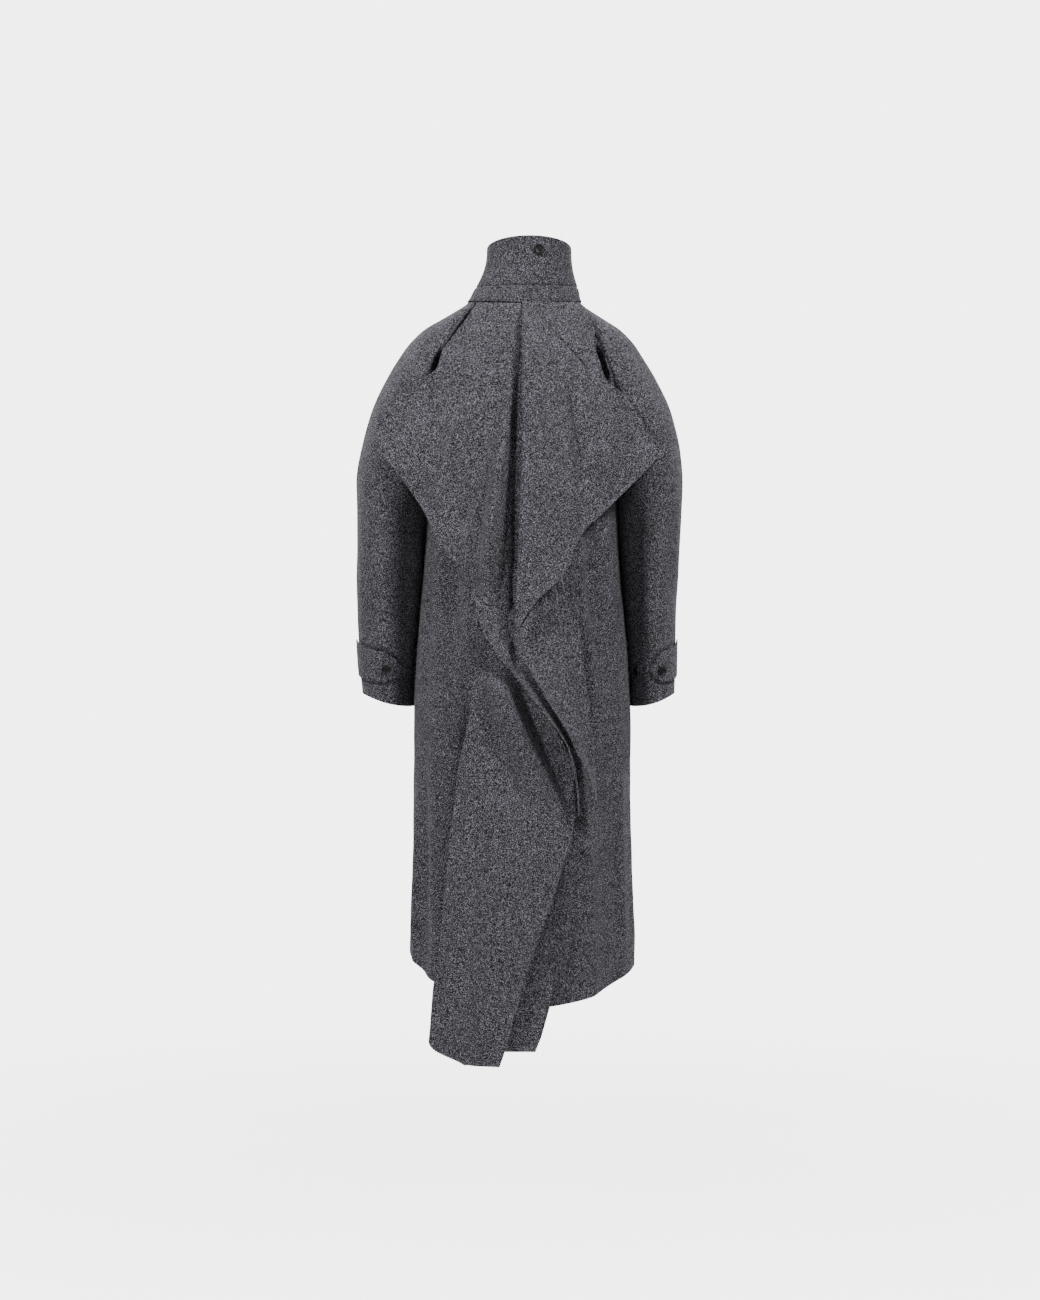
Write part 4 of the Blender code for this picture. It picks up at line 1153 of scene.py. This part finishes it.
def add_cloth(node, surface, across, along, wall, look, level=False):
    """The dressed piece of cloth that stands for a CAD node."""
    hung(cloth_shell("coat_" + node, surface, across, along, wall, look, level), node)


def make_torso(look):
    across = spaced(PANEL_WIDTH, CELL, False, True)
    overlap = np.arange(-FRONT_OVERLAP, -OVERLAP_CLEAR, CELL / PANEL_WIDTH)
    for side, label in SIDES.items():
        add_cloth("back_" + label, lambda u, v, s=side: back_surface(u, v, s),
                  spaced(PANEL_WIDTH, CELL, True, True), spaced(-BACK_HEM, CELL), -CLOTH, look)
        add_cloth("front_" + label, lambda u, v, s=side: front_surface(u, v, s),
                  np.concatenate([overlap, across]), spaced(-FRONT_HEM, CELL), -CLOTH, look)


def make_sleeves(look):
    for side, label in SIDES.items():
        for face, part in ((1, "back"), (-1, "front")):
            add_cloth("sleeve_%s_%s" % (label, part),
                      lambda u, v, s=side, f=face: sleeve_surface(u, v, s, f),
                      spaced(SLEEVE_WIDTH, CELL, False, True), spaced(-CUFF, CELL), -CLOTH, look)


def rolled_collar(place, share):
    """The collar with the soft roll of its stand over the neck seam, and the seam above it."""
    points = collar_surface(place, share)
    around = np.arctan2(points[..., 0] - COLLAR_CENTRE[0], points[..., 1] - COLLAR_CENTRE[1])
    outward = level_way(np.sin(around), np.cos(around))
    roll = ROLL_RISE * np.exp(-((share - ROLL_PLACE) / ROLL_SPREAD) ** 2)
    roll = roll * ease(np.abs(np.cos(around)) * ROLL_SIDES - ROLL_SIDE_END)
    seam = -SEAM_DIP * np.exp(-((share - STAND_SHARE) / COLLAR_SEAM_SPREAD) ** 2)
    sag = COLLAR_SAG * wave(SAG_SEED, place * SAG_WAVES) * ease((share - SAG_FROM) / SAG_GROWTH)
    return points + outward * (roll + seam + sag)[..., None]


def make_collar(look):
    end = FRONT_PLACE - COLLAR_FRONT_GAP
    around = np.linspace(-end, end, COLLAR_COLUMNS)
    seam = COLLAR_SEAM / 2 / COLLAR_TOP
    for node, share in (("collar_stand", np.linspace(0, STAND_SHARE - seam, STAND_ROWS)),
                        ("collar", np.linspace(STAND_SHARE + seam, 1, COLLAR_ROWS))):
        add_cloth(node, rolled_collar, around, share, -CLOTH, look, level=True)


def make_drape(look):
    for layer, (name, table, _) in enumerate(DRAPE_LAYERS):
        heights = column(table, DRAPE_COLUMNS, "height")
        widths = column(table, DRAPE_COLUMNS, "left") - column(table, DRAPE_COLUMNS, "right")
        across = np.linspace(0, 1, int(widths.max() / DRAPE_CELL) + 2)
        along = np.linspace(heights[0], heights[-1], int((heights[0] - heights[-1]) / DRAPE_CELL) + 2)
        add_cloth(name, lambda u, v, n=layer: drape_surface(u, v, n), across, along, CLOTH, look)


def sleeve_relief(side, degrees, height, points):
    """How far the sleeve's creases and ripple stand out under its tab and buttons."""
    return creases("sleeve_" + SIDES[side], degrees, height) + ripple(points)


def tab_surface(share, drop, side):
    """Inner face of a cuff tab, share along it, drop 0 upper edge to 1 lower edge."""
    upper, lower = tab_edges(share)
    height = upper + (lower - upper) * drop
    degrees = TAB_START + (TAB_ENDS[SIDES[side]] - TAB_START) * share
    angle = np.radians(degrees)
    _, half_width, half_depth, _ = sleeve_oval(height, side)
    outward = unit(level_way(side * np.cos(angle) / half_width, np.sin(angle) / half_depth))
    points = sleeve_angle_point(side, angle, height)
    relief = np.maximum(sleeve_relief(side, degrees, height, points), 0)
    return points + outward * (TAB_LIFT + relief)[..., None]


def make_tabs(look):
    for side, label in SIDES.items():
        add_cloth("cuff_tab_" + label, lambda u, v, s=side: tab_surface(u, v, s),
                  np.linspace(0, 1, TAB_LINES_ALONG), np.linspace(0, 1, TAB_LINES_ACROSS), CLOTH, look)


# ---------------- buttons
def add_lathed(shape, rings):
    """A solid of rings of points, each joined to the next, with both ends closed."""
    rings = [[shape.verts.new(point) for point in ring] for ring in rings]
    for low, high in zip(rings, rings[1:]):
        for k in range(len(low)):
            after = (k + 1) % len(low)
            shape.faces.new((low[k], low[after], high[after], high[k]))
    shape.faces.new(rings[0][::-1])
    shape.faces.new(rings[-1])


def circle(count, start=0.0):
    """The cosine and sine of evenly spaced angles."""
    turns = [math.tau * (k + start) / count for k in range(count)]
    return [(math.cos(turn), math.sin(turn)) for turn in turns]


def button_mesh(radius):
    """A round button with a raised rim, a dished middle and four sewing holes, in millimetres."""
    shape = bmesh.new()
    add_lathed(shape, [[(radius * share * x, radius * share * y, height) for x, y in circle(BUTTON_SIDES)]
                       for share, height in BUTTON_PROFILE])
    blank = placed("button_blank", closed(shape, "button_blank"))
    drills = []
    for x, y in circle(HOLES, 0.5):
        bpy.ops.mesh.primitive_cylinder_add(vertices=HOLE_SIDES, radius=radius * HOLE_SHARE, depth=DRILL,
                                            location=(radius * HOLE_PLACE * x, radius * HOLE_PLACE * y, 0))
        drills.append(bpy.context.object)
    for drill in drills:
        cut = blank.modifiers.new("hole", "BOOLEAN")
        cut.operation = "DIFFERENCE"
        cut.solver = "EXACT"
        cut.object = drill
    bpy.context.view_layer.update()
    drilled = bpy.data.meshes.new_from_object(blank.evaluated_get(bpy.context.evaluated_depsgraph_get()))
    for item in drills + [blank]:
        bpy.data.objects.remove(item, do_unlink=True)
    drilled.materials.clear()
    drilled.shade_smooth()
    drilled.set_sharp_from_angle(angle=BUTTON_SHARP_ANGLE)
    return drilled


def button_thread(radius):
    """Two pairs of strands of thread between the holes, which dip into them, in millimetres."""
    shape = bmesh.new()
    reach = radius * HOLE_PLACE * math.cos(math.pi / 4)
    for side in (-1, 1):
        for strand in (-STRAND_OFF, STRAND_OFF):
            rings = []
            for share in np.linspace(-1, 1, THREAD_STEPS + 1):
                lift = THREAD_TOP - THREAD_DIP * abs(share) ** THREAD_BEND
                rings.append([(share * reach * THREAD_REACH, side * reach + strand + THREAD_RADIUS * x,
                               lift + THREAD_RADIUS * y) for x, y in circle(THREAD_SIDES)])
            add_lathed(shape, rings)
    return closed(shape, "button_thread")


def point_and_normal(surface, u, v, outward):
    """One point of a surface and its unit normal on the side of outward."""
    here = surface(np.array([[u]]), np.array([[v]]))[0, 0]
    along_u = surface(np.array([[u + STEP]]), np.array([[v]]))[0, 0] - here
    along_v = surface(np.array([[u]]), np.array([[v + STEP]]))[0, 0] - here
    normal = unit(np.cross(along_u, along_v))
    return here, normal if np.dot(normal, outward) > 0 else -normal


def put_button(node, point, normal, radius, looks, turn):
    """A button and its thread on a point of the cloth, facing along a normal."""
    upright = Vector((0, 0, 1)).rotation_difference(Vector(normal)).to_matrix().to_4x4()
    place = (Matrix.Scale(METRES, 4) @ Matrix.Translation(Vector(point) + Vector(normal) * BUTTON_LIFT)
             @ upright @ Matrix.Rotation(turn, 4, "Z"))
    for part, mesh, look in (("", BUTTONS[radius], looks[0]), ("_thread", THREADS[radius], looks[1])):
        own = mesh.copy()
        own.transform(place)
        own.materials.append(look)
        item = placed("coat_" + node + part, own)
        if part:
            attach(item, "root")
        else:
            hung(item, node)


def make_buttons(looks):
    point, normal = point_and_normal(
        rolled_collar, -COLLAR_BUTTON_TURN / QUARTER, COLLAR_BUTTON_SHARE, (0, 1, 0))
    put_button("button_collar", point, normal, COAT_BUTTON, looks, COLLAR_BUTTON_SPIN)
    for number, (name, side, angle, height, on_tab) in enumerate(CUFF_BUTTONS):
        way = (side * np.cos(np.radians(angle)), np.sin(np.radians(angle)), 0)
        point, normal = point_and_normal(
            lambda u, v, s=side: sleeve_angle_point(s, np.radians(u), v), angle, height, way)
        relief = float(sleeve_relief(side, angle, height, point))
        stack = max(relief, 0) + TAB_LIFT + CLOTH if on_tab else relief
        put_button(name, point + normal * stack, normal, CUFF_BUTTON, looks, CUFF_BUTTON_SPIN * number)
    for number, height in enumerate(FRONT_BUTTON_HEIGHTS, 1):
        point, normal = point_and_normal(
            lambda u, v: dressed_torso(u, v, -1), 0.0, float(height), (0, -1, 0))
        put_button("button_front_%d" % number, point + normal * OVERLAP_LIFT, normal,
                   COAT_BUTTON, looks, FRONT_BUTTON_SPIN * number)


# ---------------- camera, light and floor
def make_camera():
    """Square on to the coat's back, as in the photograph."""
    data = bpy.data.cameras.new("camera")
    data.sensor_fit = "VERTICAL"
    data.sensor_height = SENSOR
    data.lens = SENSOR * CAMERA_AWAY / VIEW_TALL
    camera = placed("camera", data)
    camera.location = (VIEW_CENTRE[0], CAMERA_AWAY, VIEW_CENTRE[1])
    camera.rotation_euler = (math.pi / 2, 0, math.pi)
    bpy.context.scene.camera = camera


def make_lights():
    for name, location, power in LIGHTS:
        data = bpy.data.lights.new(name, "AREA")
        data.shape = "RECTANGLE"
        data.size = data.size_y = LIGHT_SIZE
        data.energy = power
        light = placed(name, data)
        light.location = location
        way = Vector((0, 0, MIDDLE)) - light.location
        light.rotation_euler = way.to_track_quat("-Z", "Y").to_euler()


def make_backdrop():
    """A dim light from all round, and what the camera sees there."""
    world = bpy.data.worlds.new("studio")
    bpy.context.scene.world = world
    world.use_nodes = True
    tree = world.node_tree
    lit = tree.nodes["Background"]
    lit.inputs["Color"].default_value = (1, 1, 1, 1)
    lit.inputs["Strength"].default_value = WORLD_LIGHT
    pale = add_node(tree, "Background", {"Color": (1, 1, 1, 1), "Strength": BACKDROP}).outputs[0]
    seen = add_node(tree, "LightPath", {}).outputs["Is Camera Ray"]
    either = add_node(tree, "MixShader", {"Fac": seen, 1: lit.outputs["Background"], 2: pale})
    tree.links.new(either.outputs["Shader"], tree.nodes["World Output"].inputs["Surface"])


def make_floor():
    mesh = bpy.data.meshes.new("floor")
    corners = [(x, y, FLOOR) for x, y in ((-1, -1), (1, -1), (1, 1), (-1, 1))]
    mesh.from_pydata([(x * FLOOR_HALF, y * FLOOR_HALF, z) for x, y, z in corners], [], [(0, 1, 2, 3)])
    mesh.materials.append(floor_finish("studio_floor"))
    placed("floor", mesh)


make_camera()
make_lights()
make_backdrop()
make_floor()
coating = wool("wool_melange", 1.0)
BUTTONS = {radius: button_mesh(radius) for radius in (COAT_BUTTON, CUFF_BUTTON)}
THREADS = {radius: button_thread(radius) for radius in (COAT_BUTTON, CUFF_BUTTON)}
make_torso(coating)
make_sleeves(coating)
# the collar gets a darker copy of the wool, which is painted shade
make_collar(wool("wool_melange_collar_painted_shade", COLLAR_PAINTED_SHADE))
make_drape(coating)
make_tabs(coating)
make_buttons((horn("button_horn"), thread("button_thread")))
